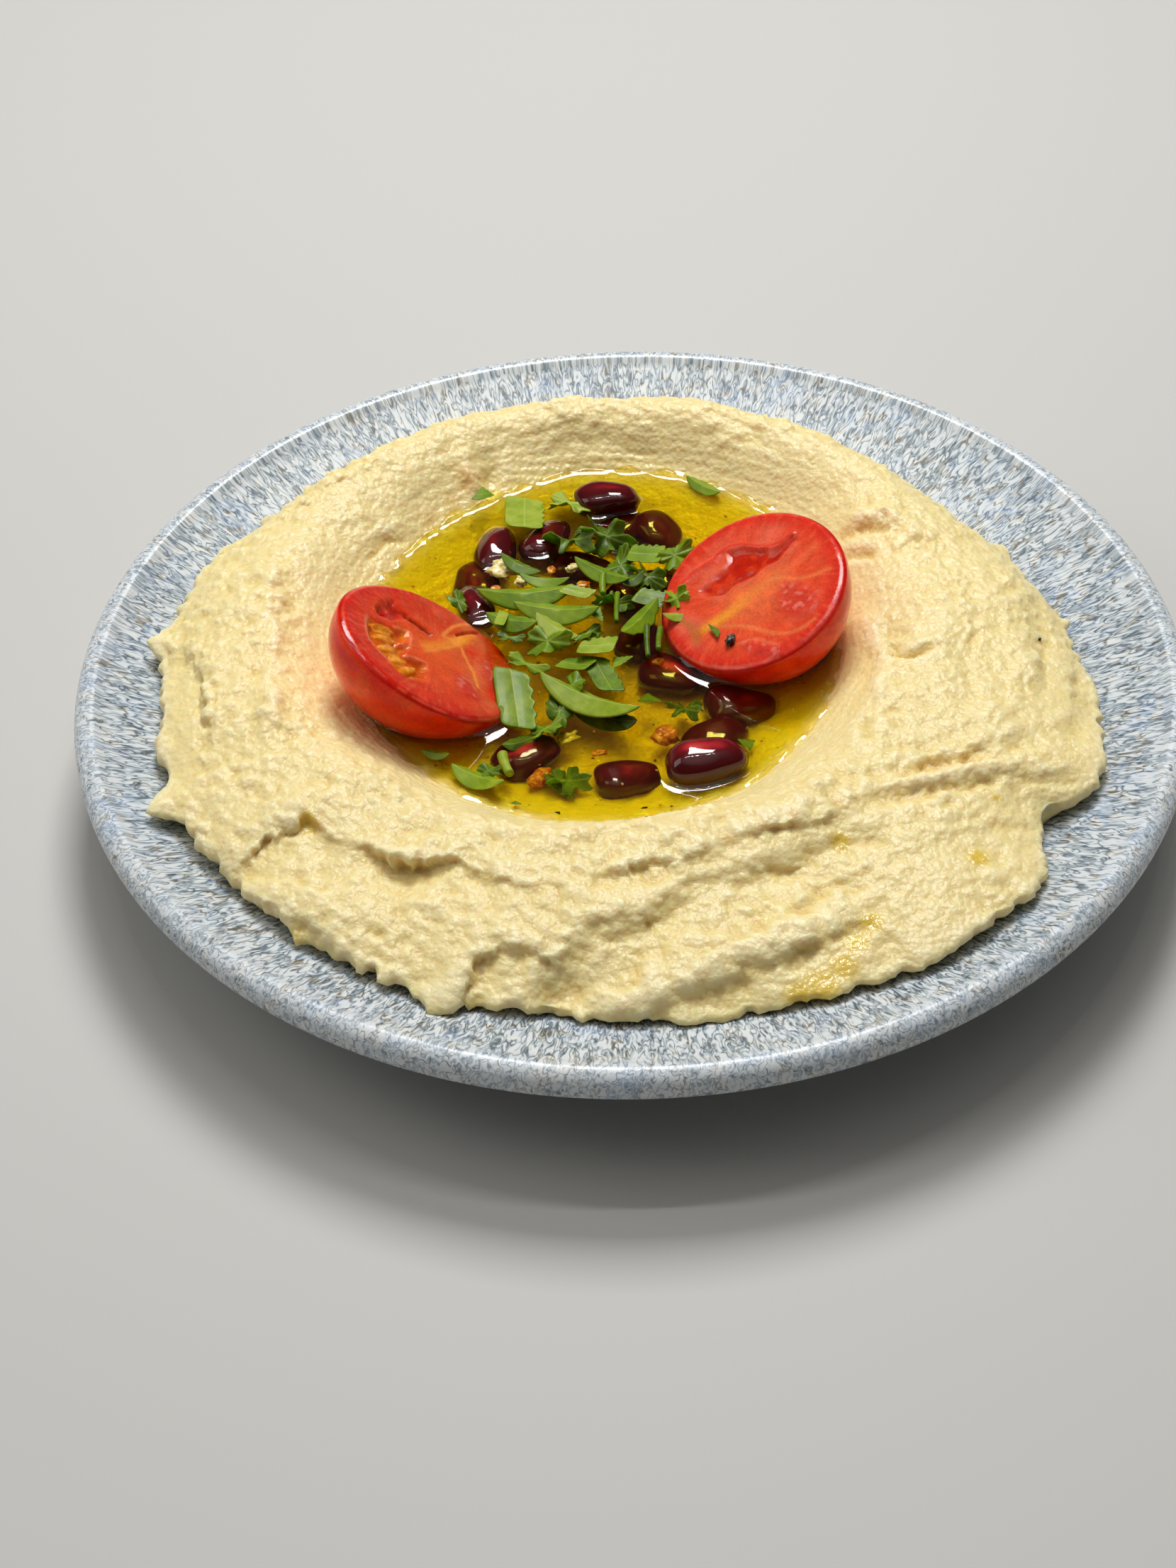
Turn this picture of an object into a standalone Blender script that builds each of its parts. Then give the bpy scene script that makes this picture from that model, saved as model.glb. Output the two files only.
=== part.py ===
"""Hummus on a coupe plate.

A mound of hummus spread on a round plate, with a well spooned into its middle.
The well holds olive oil, two cherry tomato halves lean on its sides, and
pomegranate seeds stand in the oil.

Units are metres and +Z is up. The origin is the centre of the plate's foot,
on the table. The front of the dish faces -Y. Angles run from +X to +Y.
"""
import math

import bmesh
import bpy
from mathutils import Matrix, Vector, noise

GAP = 0.0003                      # clearance between pieces that touch

# Plate
RIM_RADIUS = 0.0910               # outer radius of the plate
RIM_ROUND = 0.0026                # half the thickness of the rounded rim
RIM_TOP = 0.0210                  # height of the rim above the table
PLATE_FLOOR = 0.0065              # height of the flat floor inside
PLATE_FLAT = 0.0350               # radius of the flat floor
PLATE_CURVE = 1.8                 # power law of the rise from floor to rim
PLATE_WALL = 0.0052               # thickness of the wall
FOOT_OUTER = 0.0520
FOOT_INNER = 0.0460
FOOT_HEIGHT = 0.0020
PLATE_STEPS = 64
PLATE_RING = 0.0065               # spacing of the rings that draw the curve
RIM_LEAN = 25                     # slope of the surface where it meets the rim, degrees
FOOT_CHAMFER = 0.0010

# Hummus: the rings of the mound are laid out about the middle of the well
WELL = Vector((-0.0040, 0.0100))
WELL_FLOOR = 0.0095               # height of the well's floor
WELL_CURVE = 3.5                  # power law of the well's bowl
OIL_LEVEL = 0.0170
OIL_CLIMB = 0.0004                # how far the oil creeps up at its edge
HUMMUS_STEPS = 72

# (angle in degrees, radius or height) round the well
POOL_EDGE = ((0, 0.0385), (40, 0.0435), (90, 0.0460), (120, 0.0425),
             (180, 0.0410), (270, 0.0460), (325, 0.0410))
CREST_RADIUS = ((0, 0.0570), (60, 0.0560), (90, 0.0555), (150, 0.0560),
                (200, 0.0590), (270, 0.0550), (320, 0.0580))
CREST_HEIGHT = ((0, 0.0240), (60, 0.0255), (100, 0.0255), (160, 0.0250),
                (215, 0.0245), (270, 0.0235), (320, 0.0235))
OUTLINE = ((0, 0.0785), (25, 0.0695), (50, 0.0670), (85, 0.0660), (115, 0.0650),
           (145, 0.0655), (172, 0.0715), (195, 0.0745), (215, 0.0795), (238, 0.0830),
           (265, 0.0850), (290, 0.0885), (312, 0.0905), (327, 0.0835), (340, 0.0850))
LIP_HEIGHT = 0.0040               # steep edge of the mound above the plate
# Pointed flicks at the outline: angle, how far they stand out, half width
SPIKES = ((182, 0.0025, 4), (210, 0.0050, 4), (251, 0.0040, 5))
# Upper layer that ends in a ledge over the lower one, along the front left
LEDGE_ARC = (238, 45)             # middle and half width of its arc, degrees
LEDGE_RADIUS = 0.0665
LEDGE_DROP = 0.0030
# Long folds the spoon left: angle and radius where each starts and ends, height
FOLDS = (((262, 0.0720), (318, 0.0640), 0.0018),
         ((268, 0.0820), (322, 0.0760), 0.0016),
         ((318, 0.0700), (385, 0.0640), 0.0014),
         ((325, 0.0780), (375, 0.0730), 0.0012))
FOLD_WIDTH = 0.0028
LUMP_SIZE = 0.0110                # soft unevenness of the paste between the folds
LUMP_HEIGHT = 0.0009

# Cherry tomato halves: centre of the cut face, the face's normal, the
# direction of the long axis, and half the length, width and depth
TOMATOES = {
    "tomato_half_right": ((0.0208, 0.0102, 0.0249), (-0.45, -0.09, 0.89),
                          (0.41, -0.90, 0.12), (0.0184, 0.0163, 0.0144)),
    "tomato_half_left": ((-0.0323, -0.0034, 0.0252), (0.62, 0.09, 0.78),
                         (0.69, 0.41, -0.59), (0.0182, 0.0151, 0.0134)),
}

# Pomegranate seeds that stand out of the oil: centre, heading and pitch of
# the long axis in degrees, and the length
SEEDS = (((-0.0024, 0.0462, 0.0174), -6, 4, 0.0118),
         ((-0.0223, 0.0345, 0.0158), 78, 5, 0.0112),
         ((-0.0135, 0.0364, 0.0154), 58, 4, 0.0116),
         ((-0.0258, 0.0184, 0.0156), 110, 8, 0.0098),
         ((0.0114, -0.0240, 0.0179), 8, 3, 0.0132))
SEED_WIDTH = 0.60                 # width and height as shares of the length
SEED_HEIGHT = 0.52
SEED_SQUARE = 2.6                 # power that rounds the block; 2 is an egg
SEED_TAPER = 0.16                 # how much narrower the pointed end is


def collection(name):
    """A new collection in the scene."""
    made = bpy.data.collections.new(name)
    bpy.context.scene.collection.children.link(made)
    return made


def material(name, colour, roughness, transmission=0.0):
    """A Principled material in linear colour."""
    made = bpy.data.materials.new(name)
    made.use_nodes = True
    shader = made.node_tree.nodes["Principled BSDF"]
    shader.inputs["Base Color"].default_value = (*colour, 1.0)
    shader.inputs["Roughness"].default_value = roughness
    shader.inputs["Transmission Weight"].default_value = transmission
    return made


def add_object(name, mesh, into, finish=None):
    """An object that holds a mesh, with its material."""
    made = bpy.data.objects.new(name, mesh)
    into.objects.link(made)
    if finish:
        mesh.materials.append(finish)
    return made


def shade(mesh):
    """Smooth shading with its sharp edges kept."""
    mesh.shade_smooth()
    mesh.set_sharp_from_angle(angle=math.radians(40))


def turn(name, profile, steps, into, finish):
    """A solid of revolution; its profile runs down the outer side from axis to axis."""
    mesh = bpy.data.meshes.new(name)
    points = [(radius, 0.0, height) for radius, height in profile]
    mesh.from_pydata(points, [(i, i + 1) for i in range(len(points) - 1)], [])
    made = add_object(name, mesh, into, finish)
    screw = made.modifiers.new("turn", "SCREW")
    screw.steps = steps
    screw.render_steps = steps
    screw.use_merge_vertices = True
    screw.merge_threshold = 0.00001
    screw.use_smooth_shade = True
    return made


def freeze(made):
    """Replace an object's mesh with the evaluated one."""
    evaluated = made.evaluated_get(bpy.context.evaluated_depsgraph_get())
    made.data = bpy.data.meshes.new_from_object(evaluated)
    made.modifiers.clear()


def plate_top(radius):
    """Height of the plate's upper surface at a radius from its centre."""
    rise = max(0.0, radius - PLATE_FLAT) / (RIM_RADIUS - RIM_ROUND - PLATE_FLAT)
    return PLATE_FLOOR + (RIM_TOP - PLATE_FLOOR) * rise ** PLATE_CURVE


def around(table, angle):
    """Smooth value at an angle, in degrees, through a ring of (angle, value) pairs."""
    angle %= 360
    count = len(table)
    i = max((k for k in range(count) if table[k][0] <= angle), default=count - 1)
    before, here, there, after = (table[(i + k) % count] for k in (-1, 0, 1, 2))
    span = (there[0] - here[0]) % 360
    u = ((angle - here[0]) % 360) / span
    slope_here = (there[1] - before[1]) / ((there[0] - before[0]) % 360) * span
    slope_there = (after[1] - here[1]) / ((after[0] - here[0]) % 360) * span
    return hermite(u, here[1], there[1], slope_here, slope_there)


def hermite(u, start, end, slope_start, slope_end):
    """Cubic from start to end as u runs from 0 to 1, with the slopes given."""
    return (start * (2 * u ** 3 - 3 * u ** 2 + 1) + slope_start * (u ** 3 - 2 * u ** 2 + u)
            + end * (3 * u ** 2 - 2 * u ** 3) + slope_end * (u ** 3 - u ** 2))


def turned_by(angle, other):
    """Signed difference of two angles in degrees, from -180 to 180."""
    return (angle - other + 180) % 360 - 180


def outline(angle):
    """Outer radius of the mound, with its pointed flicks."""
    radius = around(OUTLINE, angle)
    for at, reach, width in SPIKES:
        radius += reach * math.exp(-(turned_by(angle, at) / width) ** 2)
    return radius


def folds(angle, radius):
    """Height that the spoon's folds and the ledge add to the mound."""
    total = 0.0
    for (from_angle, from_radius), (to_angle, to_radius), height in FOLDS:
        span = to_angle - from_angle
        u = ((angle - from_angle) % 360) / span
        if u < 1:
            middle = from_radius + u * (to_radius - from_radius)
            swell = math.sin(math.pi * u)
            total += height * swell * math.exp(-((radius - middle) / FOLD_WIDTH) ** 2)
    middle, half = LEDGE_ARC
    reach = max(0.0, 1 - (turned_by(angle, middle) / half) ** 2)
    past = min(1.0, max(0.0, (radius - LEDGE_RADIUS) / FOLD_WIDTH))
    return total - LEDGE_DROP * reach * past


def mound_point(angle, station):
    """Point of the mound's upper surface.

    The station runs 0 to 1 from the well's middle to the oil's edge, 1 to 2
    up to the crest, and 2 to 3 down to the lip over the plate.
    """
    pool = around(POOL_EDGE, angle)
    crest = around(CREST_RADIUS, angle)
    top = around(CREST_HEIGHT, angle)
    bowl = OIL_LEVEL - WELL_FLOOR
    edge = outline(angle)
    if station <= 1:
        radius = station * pool
        height = WELL_FLOOR + bowl * station ** WELL_CURVE
    elif station <= 2:
        radius = pool + (station - 1) * (crest - pool)
        slope = bowl * WELL_CURVE / pool * (crest - pool)
        height = hermite(station - 1, OIL_LEVEL, top, slope, 0.0)
    else:
        radius = crest + (station - 2) * (edge - crest)
        lip = plate_top(from_plate_centre(angle, edge)) + LIP_HEIGHT
        height = hermite(station - 2, top, lip, 0.0, 1.2 * (lip - top))
        height += folds(angle, radius) * min(1.0, (3 - station) * 5)
    uneven = LUMP_HEIGHT * noise.noise(place(angle, radius, 0.0) / LUMP_SIZE)
    return place(angle, radius, height + uneven * max(0.0, min(1.0, station - 1, (3 - station) * 5)))


def place(angle, radius, height):
    """Point at an angle and radius from the middle of the well."""
    turn_by = math.radians(angle)
    return Vector((WELL.x + radius * math.cos(turn_by), WELL.y + radius * math.sin(turn_by), height))


def from_plate_centre(angle, radius):
    """Distance from the plate's centre of a point given about the well."""
    return place(angle, radius, 0.0).length


def under_point(angle, share):
    """Point of the mound's underside, a gap above the plate, at a share of its outline."""
    radius = share * outline(angle)
    return place(angle, radius, plate_top(from_plate_centre(angle, radius)) + GAP)


def make_plate(into, finish):
    """Turned stoneware plate with a rounded rim and a low foot ring."""
    tube_radius = RIM_RADIUS - RIM_ROUND
    tube_height = RIM_TOP - RIM_ROUND
    profile = [(0.0, PLATE_FLOOR)]
    for ring in range(8):
        radius = PLATE_FLAT + ring * PLATE_RING
        profile.append((radius, plate_top(radius)))
    for degrees in (90 + RIM_LEAN, 90, 50, 0, -90 + RIM_LEAN):
        bend = math.radians(degrees)
        profile.append((tube_radius + RIM_ROUND * math.cos(bend),
                        tube_height + RIM_ROUND * math.sin(bend)))
    for radius in (0.0800, 0.0690, 0.0570):
        profile.append((radius, plate_top(radius) - PLATE_WALL))
    profile += [(FOOT_OUTER, FOOT_CHAMFER), (FOOT_OUTER - FOOT_CHAMFER, 0.0), (FOOT_INNER, 0.0)]
    profile += [(FOOT_INNER - FOOT_CHAMFER, FOOT_HEIGHT), (0.0, FOOT_HEIGHT)]
    return turn("plate", profile, PLATE_STEPS, into, finish)


def make_hummus(into, finish):
    """The mound: a turned blank whose rings are moved onto the real surface."""
    upper = (0, 0.55, 0.75, 0.88, 1, 1.35, 1.7, 2, 2.2, 2.36, 2.5, 2.62, 2.74, 2.86, 3)
    lower = (1, 0.92, 0.82, 0.7, 0.56, 0)
    blank = [(share, 1.0) for share in upper] + [(3 * share, -1.0) for share in lower]
    made = turn("hummus", blank, HUMMUS_STEPS, into, finish)
    freeze(made)
    for vertex in made.data.vertices:
        angle = math.degrees(math.atan2(vertex.co.y, vertex.co.x))
        station = vertex.co.xy.length
        if vertex.co.z > 0:
            vertex.co = mound_point(angle, station)
        else:
            vertex.co = under_point(angle, station / 3)
    return made


def make_oil(into, finish):
    """The oil in the well: flat on top, a gap above the well's bowl below."""
    upper = (0, 0.88, 0.95, 1)
    lower = (1, 0.88, 0.75, 0.55, 0)
    blank = [(share, 1.0) for share in upper] + [(share, -1.0) for share in lower]
    made = turn("olive_oil", blank, HUMMUS_STEPS, into, finish)
    freeze(made)
    for vertex in made.data.vertices:
        angle = math.degrees(math.atan2(vertex.co.y, vertex.co.x))
        station = vertex.co.xy.length
        floor = mound_point(angle, station)
        if vertex.co.z > 0:
            creep = max(0.0, station - 0.88) / 0.12
            vertex.co = (floor.x, floor.y, OIL_LEVEL + (OIL_CLIMB + GAP) * creep ** 2)
        else:
            vertex.co = (floor.x, floor.y, floor.z + GAP)
    return made


def ball(name, segments, rings, into, finish, form):
    """A unit ball whose points are moved by form."""
    shape = bmesh.new()
    bmesh.ops.create_uvsphere(shape, u_segments=segments, v_segments=rings, radius=1.0)
    for vertex in shape.verts:
        vertex.co = form(vertex.co)
    mesh = bpy.data.meshes.new(name)
    shape.to_mesh(mesh)
    shape.free()
    return add_object(name, mesh, into, finish)


def tomato_half(name, spec, growth, into, finish):
    """Half an ellipsoid under its cut face; growth swells it on every side."""
    centre, normal, length_axis, halves = spec
    up = Vector(normal).normalized()
    across = up.cross(Vector(length_axis)).normalized()
    along = across.cross(up)
    long_half, wide_half, depth = (half + growth for half in halves)
    made = ball(name, 24, 12, into, finish,
                lambda co: Vector((co.x * long_half, co.y * wide_half, co.z * depth)))
    shape = bmesh.new()
    shape.from_mesh(made.data)
    everything = shape.verts[:] + shape.edges[:] + shape.faces[:]
    cut = bmesh.ops.bisect_plane(shape, geom=everything, plane_co=(0, 0, growth),
                                 plane_no=(0, 0, 1), clear_outer=True)
    rim = [item for item in cut["geom_cut"] if isinstance(item, bmesh.types.BMEdge)]
    bmesh.ops.holes_fill(shape, edges=rim, sides=0)
    bmesh.ops.recalc_face_normals(shape, faces=shape.faces[:])
    stand = Matrix((along, across, up)).transposed().to_4x4()
    bmesh.ops.transform(shape, matrix=Matrix.Translation(centre) @ stand, verts=shape.verts[:])
    shape.to_mesh(made.data)
    shape.free()
    shade(made.data)
    return made


def seed(name, spec, growth, into, finish):
    """One juicy pomegranate seed: a rounded, slightly tapered block."""
    centre, heading, pitch, length = spec

    def form(co):
        square = sum(abs(part) ** SEED_SQUARE for part in co) ** (-1 / SEED_SQUARE)
        half = length / 2
        taper = 1 - SEED_TAPER * co.x * square
        return Vector((co.x * square * half,
                       co.y * square * taper * half * SEED_WIDTH,
                       co.z * square * taper * half * SEED_HEIGHT)) + co * growth

    made = ball(name, 16, 8, into, finish, form)
    made.location = centre
    made.rotation_euler = (0.0, math.radians(-pitch), math.radians(heading))
    shade(made.data)
    return made


def cut_out(target, cutters):
    """Subtract each cutter from a piece."""
    for cutter in cutters:
        cutter.hide_render = True
        cutter.display_type = "WIRE"
        boolean = target.modifiers.new(cutter.name, "BOOLEAN")
        boolean.operation = "DIFFERENCE"
        boolean.solver = "EXACT"
        boolean.object = cutter


for old in list(bpy.data.objects):
    bpy.data.objects.remove(old, do_unlink=True)

dish = collection("hummus_dish")
tools = collection("cutters")

stoneware = material("speckled_stoneware", (0.45, 0.50, 0.55), 0.25)
chickpea_paste = material("hummus", (0.74, 0.62, 0.35), 0.55)
oil = material("olive_oil", (0.55, 0.42, 0.01), 0.05, transmission=0.9)
tomato_flesh = material("tomato", (0.65, 0.03, 0.01), 0.2)
aril = material("pomegranate", (0.08, 0.004, 0.008), 0.15)

make_plate(dish, stoneware)
mound = make_hummus(dish, chickpea_paste)
pool = make_oil(dish, oil)

tomato_cutters = []
for name, spec in TOMATOES.items():
    tomato_half(name, spec, 0.0, dish, tomato_flesh)
    tomato_cutters.append(tomato_half(name + "_cutter", spec, GAP, tools, None))

seed_cutters = []
for number, spec in enumerate(SEEDS, 1):
    seed(f"pomegranate_seed_{number}", spec, 0.0, dish, aril)
    seed_cutters.append(seed(f"seed_cutter_{number}", spec, GAP, tools, None))

cut_out(mound, tomato_cutters)
cut_out(pool, tomato_cutters + seed_cutters)
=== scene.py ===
import math

import bpy
import numpy as np
from mathutils import Matrix, Vector, noise
from mathutils.bvhtree import BVHTree


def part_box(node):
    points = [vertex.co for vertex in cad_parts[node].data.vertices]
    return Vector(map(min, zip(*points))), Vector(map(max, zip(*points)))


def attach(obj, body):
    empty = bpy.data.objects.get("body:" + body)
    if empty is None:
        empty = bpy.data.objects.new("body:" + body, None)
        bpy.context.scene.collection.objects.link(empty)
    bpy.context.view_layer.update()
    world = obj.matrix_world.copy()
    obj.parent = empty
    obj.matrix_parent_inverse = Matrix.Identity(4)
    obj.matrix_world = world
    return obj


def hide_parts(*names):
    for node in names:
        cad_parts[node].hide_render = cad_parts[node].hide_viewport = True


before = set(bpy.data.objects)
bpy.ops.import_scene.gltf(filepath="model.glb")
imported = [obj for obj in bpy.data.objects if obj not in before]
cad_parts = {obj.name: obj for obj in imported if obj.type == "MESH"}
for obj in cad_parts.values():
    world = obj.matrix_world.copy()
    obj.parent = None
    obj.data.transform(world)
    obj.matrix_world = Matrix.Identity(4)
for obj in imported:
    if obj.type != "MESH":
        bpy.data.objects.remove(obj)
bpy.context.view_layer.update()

# ---------------------------------------------------------------------------
# Plate: a coupe plate turned in stoneware, with a rounded rim and a low foot
# ring. It is dipped in a white glaze over an iron and cobalt slip, which
# breaks through as short blue-grey flecks when the plate is fired.
# ---------------------------------------------------------------------------
MM = 0.001
RIM_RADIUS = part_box("plate")[1][0]
RIM_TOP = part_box("plate")[1][2]
RIM_ROUND = 2.6 * MM              # half the thickness of the rim
RIM_LEAN = 25                     # slope of the surface at the rim, degrees
PLATE_FLOOR = 6.5 * MM
PLATE_FLAT = 35.0 * MM            # radius of the flat floor
PLATE_CURVE = 1.8                 # power law of the rise from floor to rim
PLATE_WALL = 5.2 * MM
FOOT_OUTER = 52.0 * MM
FOOT_INNER = 46.0 * MM
FOOT_HEIGHT = 2.0 * MM
FOOT_CHAMFER = 1.0 * MM
PLATE_STEPS = 256
GLAZE_FLECK = 0.92 * MM           # spacing of the lines in the glaze
GLAZE_STROKE = 1.7                # how many times longer they are outward than round the plate
GLAZE_CLOUD = 7.0 * MM            # size of the bluer clouds
IRON_CLOUD = 2.4 * MM             # size of the browner ones
GLAZE_SPECK = 0.8 * MM            # size of the spots where the glaze is thick or thin
# The slip's colours, from the middle of a line out to where the glaze covers it,
# and how far out each one is, as a difference in the fleck noise
SLIP_PLACES = (0.0, 0.025, 0.055, 0.10, 0.16)
SLIP_GREY = ("#54626c", "#7d8991", "#a1abb1", "#bec6ca", "#d6dadb")
SLIP_BLUE = ("#5a6f8c", "#8092a9", "#a0afbf", "#bac5d0", "#d1d8df")
SLIP_BROWN = ("#5f5a4e", "#85827a", "#a8a8a3", "#c4c7c5", "#dbdedc")


def linear(colour):
    """Linear RGBA of an sRGB hex colour."""
    parts = [int(colour[i:i + 2], 16) / 255 for i in (1, 3, 5)]
    return (*(c / 12.92 if c <= 0.04045 else ((c + 0.055) / 1.055) ** 2.4 for c in parts), 1.0)


def add_node(tree, kind, links=None, stops=None, **settings):
    """Add a node with its settings; links maps its inputs to values, nodes or sockets.

    stops are the (place, hex colour) pairs of a colour ramp.
    """
    made = tree.nodes.new(kind)
    for key, value in settings.items():
        setattr(made, key, value)
    for key, value in (links or {}).items():
        into = next(s for s in made.inputs if s.enabled and key in (s.identifier, s.name))
        if isinstance(value, bpy.types.Node):
            value = next(s for s in value.outputs if s.enabled)
        if isinstance(value, bpy.types.NodeSocket):
            tree.links.new(value, into)
        else:
            into.default_value = value
    if stops:
        points = made.color_ramp.elements
        while len(points) < len(stops):
            points.new(0.5)
        for point, (place, colour) in zip(points, stops):
            point.position = place
            point.color = linear(colour)
    return made


def new_material(name):
    """An empty material and its node tree."""
    made = bpy.data.materials.new(name)
    made.use_nodes = True
    made.node_tree.nodes.clear()
    return made, made.node_tree


def ring_faces(inner, outer):
    """Faces between two closed rows of point numbers, of equal count, 1 to 2 or 1 to many."""
    if len(inner) > len(outer):
        return [face[::-1] for face in ring_faces(outer, inner)]
    onward, beyond = np.roll(inner, -1), np.roll(outer, -1)
    if len(inner) == len(outer):
        return np.column_stack((inner, outer, beyond, onward)).tolist()
    if len(inner) == 1:
        return np.column_stack((np.repeat(inner, len(outer)), outer, beyond)).tolist()
    left, middle, right = outer[::2], outer[1::2], beyond[1::2]
    return (np.column_stack((inner, left, middle)).tolist()
            + np.column_stack((inner, middle, onward)).tolist()
            + np.column_stack((onward, middle, right)).tolist())


def ring_mesh(name, rings):
    """A closed smooth mesh through rings of points, from the top pole to the one below."""
    faces = []
    start = 0
    for ring, following in zip(rings, rings[1:]):
        inner = start + np.arange(len(ring))
        start += len(ring)
        faces += ring_faces(inner, start + np.arange(len(following)))
    mesh = bpy.data.meshes.new(name)
    mesh.from_pydata(np.concatenate(rings).tolist(), [], faces)
    mesh.shade_smooth()
    return mesh


def add_piece(name, mesh, material, nodes=()):
    """Put a finished mesh in the scene as a piece that stands for CAD nodes."""
    piece = bpy.data.objects.new(name, mesh)
    bpy.context.scene.collection.objects.link(piece)
    mesh.materials.clear()
    mesh.materials.append(material)
    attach(piece, "root")
    if nodes:
        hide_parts(*nodes)
    return piece


def circle(radius, height, count):
    """A level ring of points about the plate's axis."""
    turn = np.linspace(0, 2 * np.pi, count, endpoint=False)
    return np.column_stack((radius * np.cos(turn), radius * np.sin(turn), np.full(count, height)))


def plate_top(radius):
    """Height of the plate's upper surface at a radius from its centre."""
    rise = np.maximum(0.0, radius - PLATE_FLAT) / (RIM_RADIUS - RIM_ROUND - PLATE_FLAT)
    return PLATE_FLOOR + (RIM_TOP - PLATE_FLOOR) * rise ** PLATE_CURVE


def plate_profile():
    """Radius and height down the plate's outside, from the middle of the top to the foot."""
    for radius in np.linspace(0, PLATE_FLAT, 6):
        yield radius, PLATE_FLOOR
    tube_radius = RIM_RADIUS - RIM_ROUND
    for radius in np.linspace(PLATE_FLAT, tube_radius - 1.6 * MM, 34)[1:]:
        yield radius, plate_top(radius)
    for degrees in np.linspace(90 + RIM_LEAN, -90 + RIM_LEAN, 19):
        bend = math.radians(degrees)
        yield (tube_radius + RIM_ROUND * math.cos(bend),
               RIM_TOP - RIM_ROUND + RIM_ROUND * math.sin(bend))
    for radius in np.linspace(RIM_RADIUS - 6.0 * MM, FOOT_OUTER + 2.5 * MM, 20):
        yield radius, plate_top(radius) - PLATE_WALL
    yield FOOT_OUTER + 0.8 * MM, 1.9 * MM
    yield FOOT_OUTER, FOOT_CHAMFER
    yield FOOT_OUTER - 0.3 * FOOT_CHAMFER, 0.3 * FOOT_CHAMFER
    yield FOOT_OUTER - FOOT_CHAMFER, 0.0
    yield FOOT_INNER, 0.0
    yield FOOT_INNER - 0.5 * FOOT_CHAMFER, 0.3 * FOOT_HEIGHT
    yield FOOT_INNER - FOOT_CHAMFER, FOOT_HEIGHT
    yield 0.5 * FOOT_INNER, FOOT_HEIGHT
    yield 0.0, FOOT_HEIGHT


# Glossy fired glaze, glass-like on top, with the flecks lying under the gloss
glaze, tree = new_material("flecked_stoneware_glaze")
spot = add_node(tree, "ShaderNodeTexCoord").outputs["Object"]
parts = add_node(tree, "ShaderNodeSeparateXYZ", {"Vector": spot})
# The slip's strokes run outward, so the flecks are read by heading and by the way out
level = add_node(tree, "ShaderNodeVectorMath", {"Vector": spot, "Vector_001": (1, 1, 0)},
                 operation="MULTIPLY")
reach = add_node(tree, "ShaderNodeVectorMath", {"Vector": level}, operation="LENGTH")
heading = add_node(tree, "ShaderNodeVectorMath", {"Vector": level}, operation="NORMALIZE")
round_way = add_node(tree, "ShaderNodeVectorMath", {"Vector": heading, "Scale": 0.9 * RIM_RADIUS},
                     operation="SCALE")
outward = add_node(tree, "ShaderNodeMath",
                   {"Value": reach.outputs["Value"], "Value_001": parts.outputs["Z"]},
                   operation="SUBTRACT")
drawn_out = add_node(tree, "ShaderNodeMath", {"Value": outward, "Value_001": 1 / GLAZE_STROKE},
                     operation="MULTIPLY")
drawn = add_node(tree, "ShaderNodeVectorMath",
                 {"Vector": round_way,
                  "Vector_001": add_node(tree, "ShaderNodeCombineXYZ", {"Z": drawn_out})},
                 operation="ADD")
edge = add_node(tree, "ShaderNodeMapRange",
                {"Value": reach.outputs["Value"], "From Min": RIM_RADIUS - 8.0 * MM,
                 "From Max": RIM_RADIUS - 1.0 * MM}, interpolation_type="SMOOTHSTEP")
fleck = add_node(tree, "ShaderNodeTexNoise",
                 {"Vector": drawn, "Scale": 1 / GLAZE_FLECK, "Detail": 1.0, "Roughness": 0.4,
                  "Distortion": 1.1})
cloud = add_node(tree, "ShaderNodeTexNoise",
                 {"Vector": spot, "Scale": 1 / GLAZE_CLOUD, "Detail": 2.0})
iron = add_node(tree, "ShaderNodeTexNoise",
                {"Vector": spot, "Scale": 1 / IRON_CLOUD, "Detail": 2.0})
speck = add_node(tree, "ShaderNodeTexNoise",
                 {"Vector": drawn, "Scale": 1 / GLAZE_SPECK, "Detail": 1.0, "Roughness": 0.6})
# The slip shows as thin wandering lines where the fleck noise crosses its middle,
# and the glaze covers more of them on the rim
off_line = add_node(tree, "ShaderNodeMath",
                    {"Value": add_node(tree, "ShaderNodeMath", {"Value": fleck, "Value_001": 0.5},
                                       operation="SUBTRACT")}, operation="ABSOLUTE")
cover = add_node(tree, "ShaderNodeMath",
                 {"Value": add_node(tree, "ShaderNodeMapRange",
                                    {"Value": speck, "From Min": 0.3, "From Max": 0.7,
                                     "To Min": -0.03, "To Max": 0.03}),
                  "Value_001": add_node(tree, "ShaderNodeMapRange",
                                        {"Value": edge, "To Min": 0.0, "To Max": 0.035})},
                 operation="ADD")
thick = add_node(tree, "ShaderNodeMath", {"Value": off_line, "Value_001": cover}, operation="ADD")
grey, blue, brown = (
    add_node(tree, "ShaderNodeValToRGB", {"Fac": thick}, stops=tuple(zip(SLIP_PLACES, paints)))
    for paints in (SLIP_GREY, SLIP_BLUE, SLIP_BROWN))
bluer = add_node(tree, "ShaderNodeMapRange", {"Value": cloud, "From Min": 0.50, "From Max": 0.74})
browner = add_node(tree, "ShaderNodeMapRange", {"Value": iron, "From Min": 0.52, "From Max": 0.64})
cobalt = add_node(tree, "ShaderNodeMix", {"Factor": bluer, "A": grey, "B": blue}, data_type="RGBA")
colour = add_node(tree, "ShaderNodeMix", {"Factor": browner, "A": cobalt, "B": brown},
                  data_type="RGBA")
ripple = add_node(tree, "ShaderNodeBump",
                  {"Height": fleck, "Strength": 0.12, "Distance": 0.15 * MM})
shine = add_node(tree, "ShaderNodeMapRange", {"Value": fleck, "To Min": 0.26, "To Max": 0.36})
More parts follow.
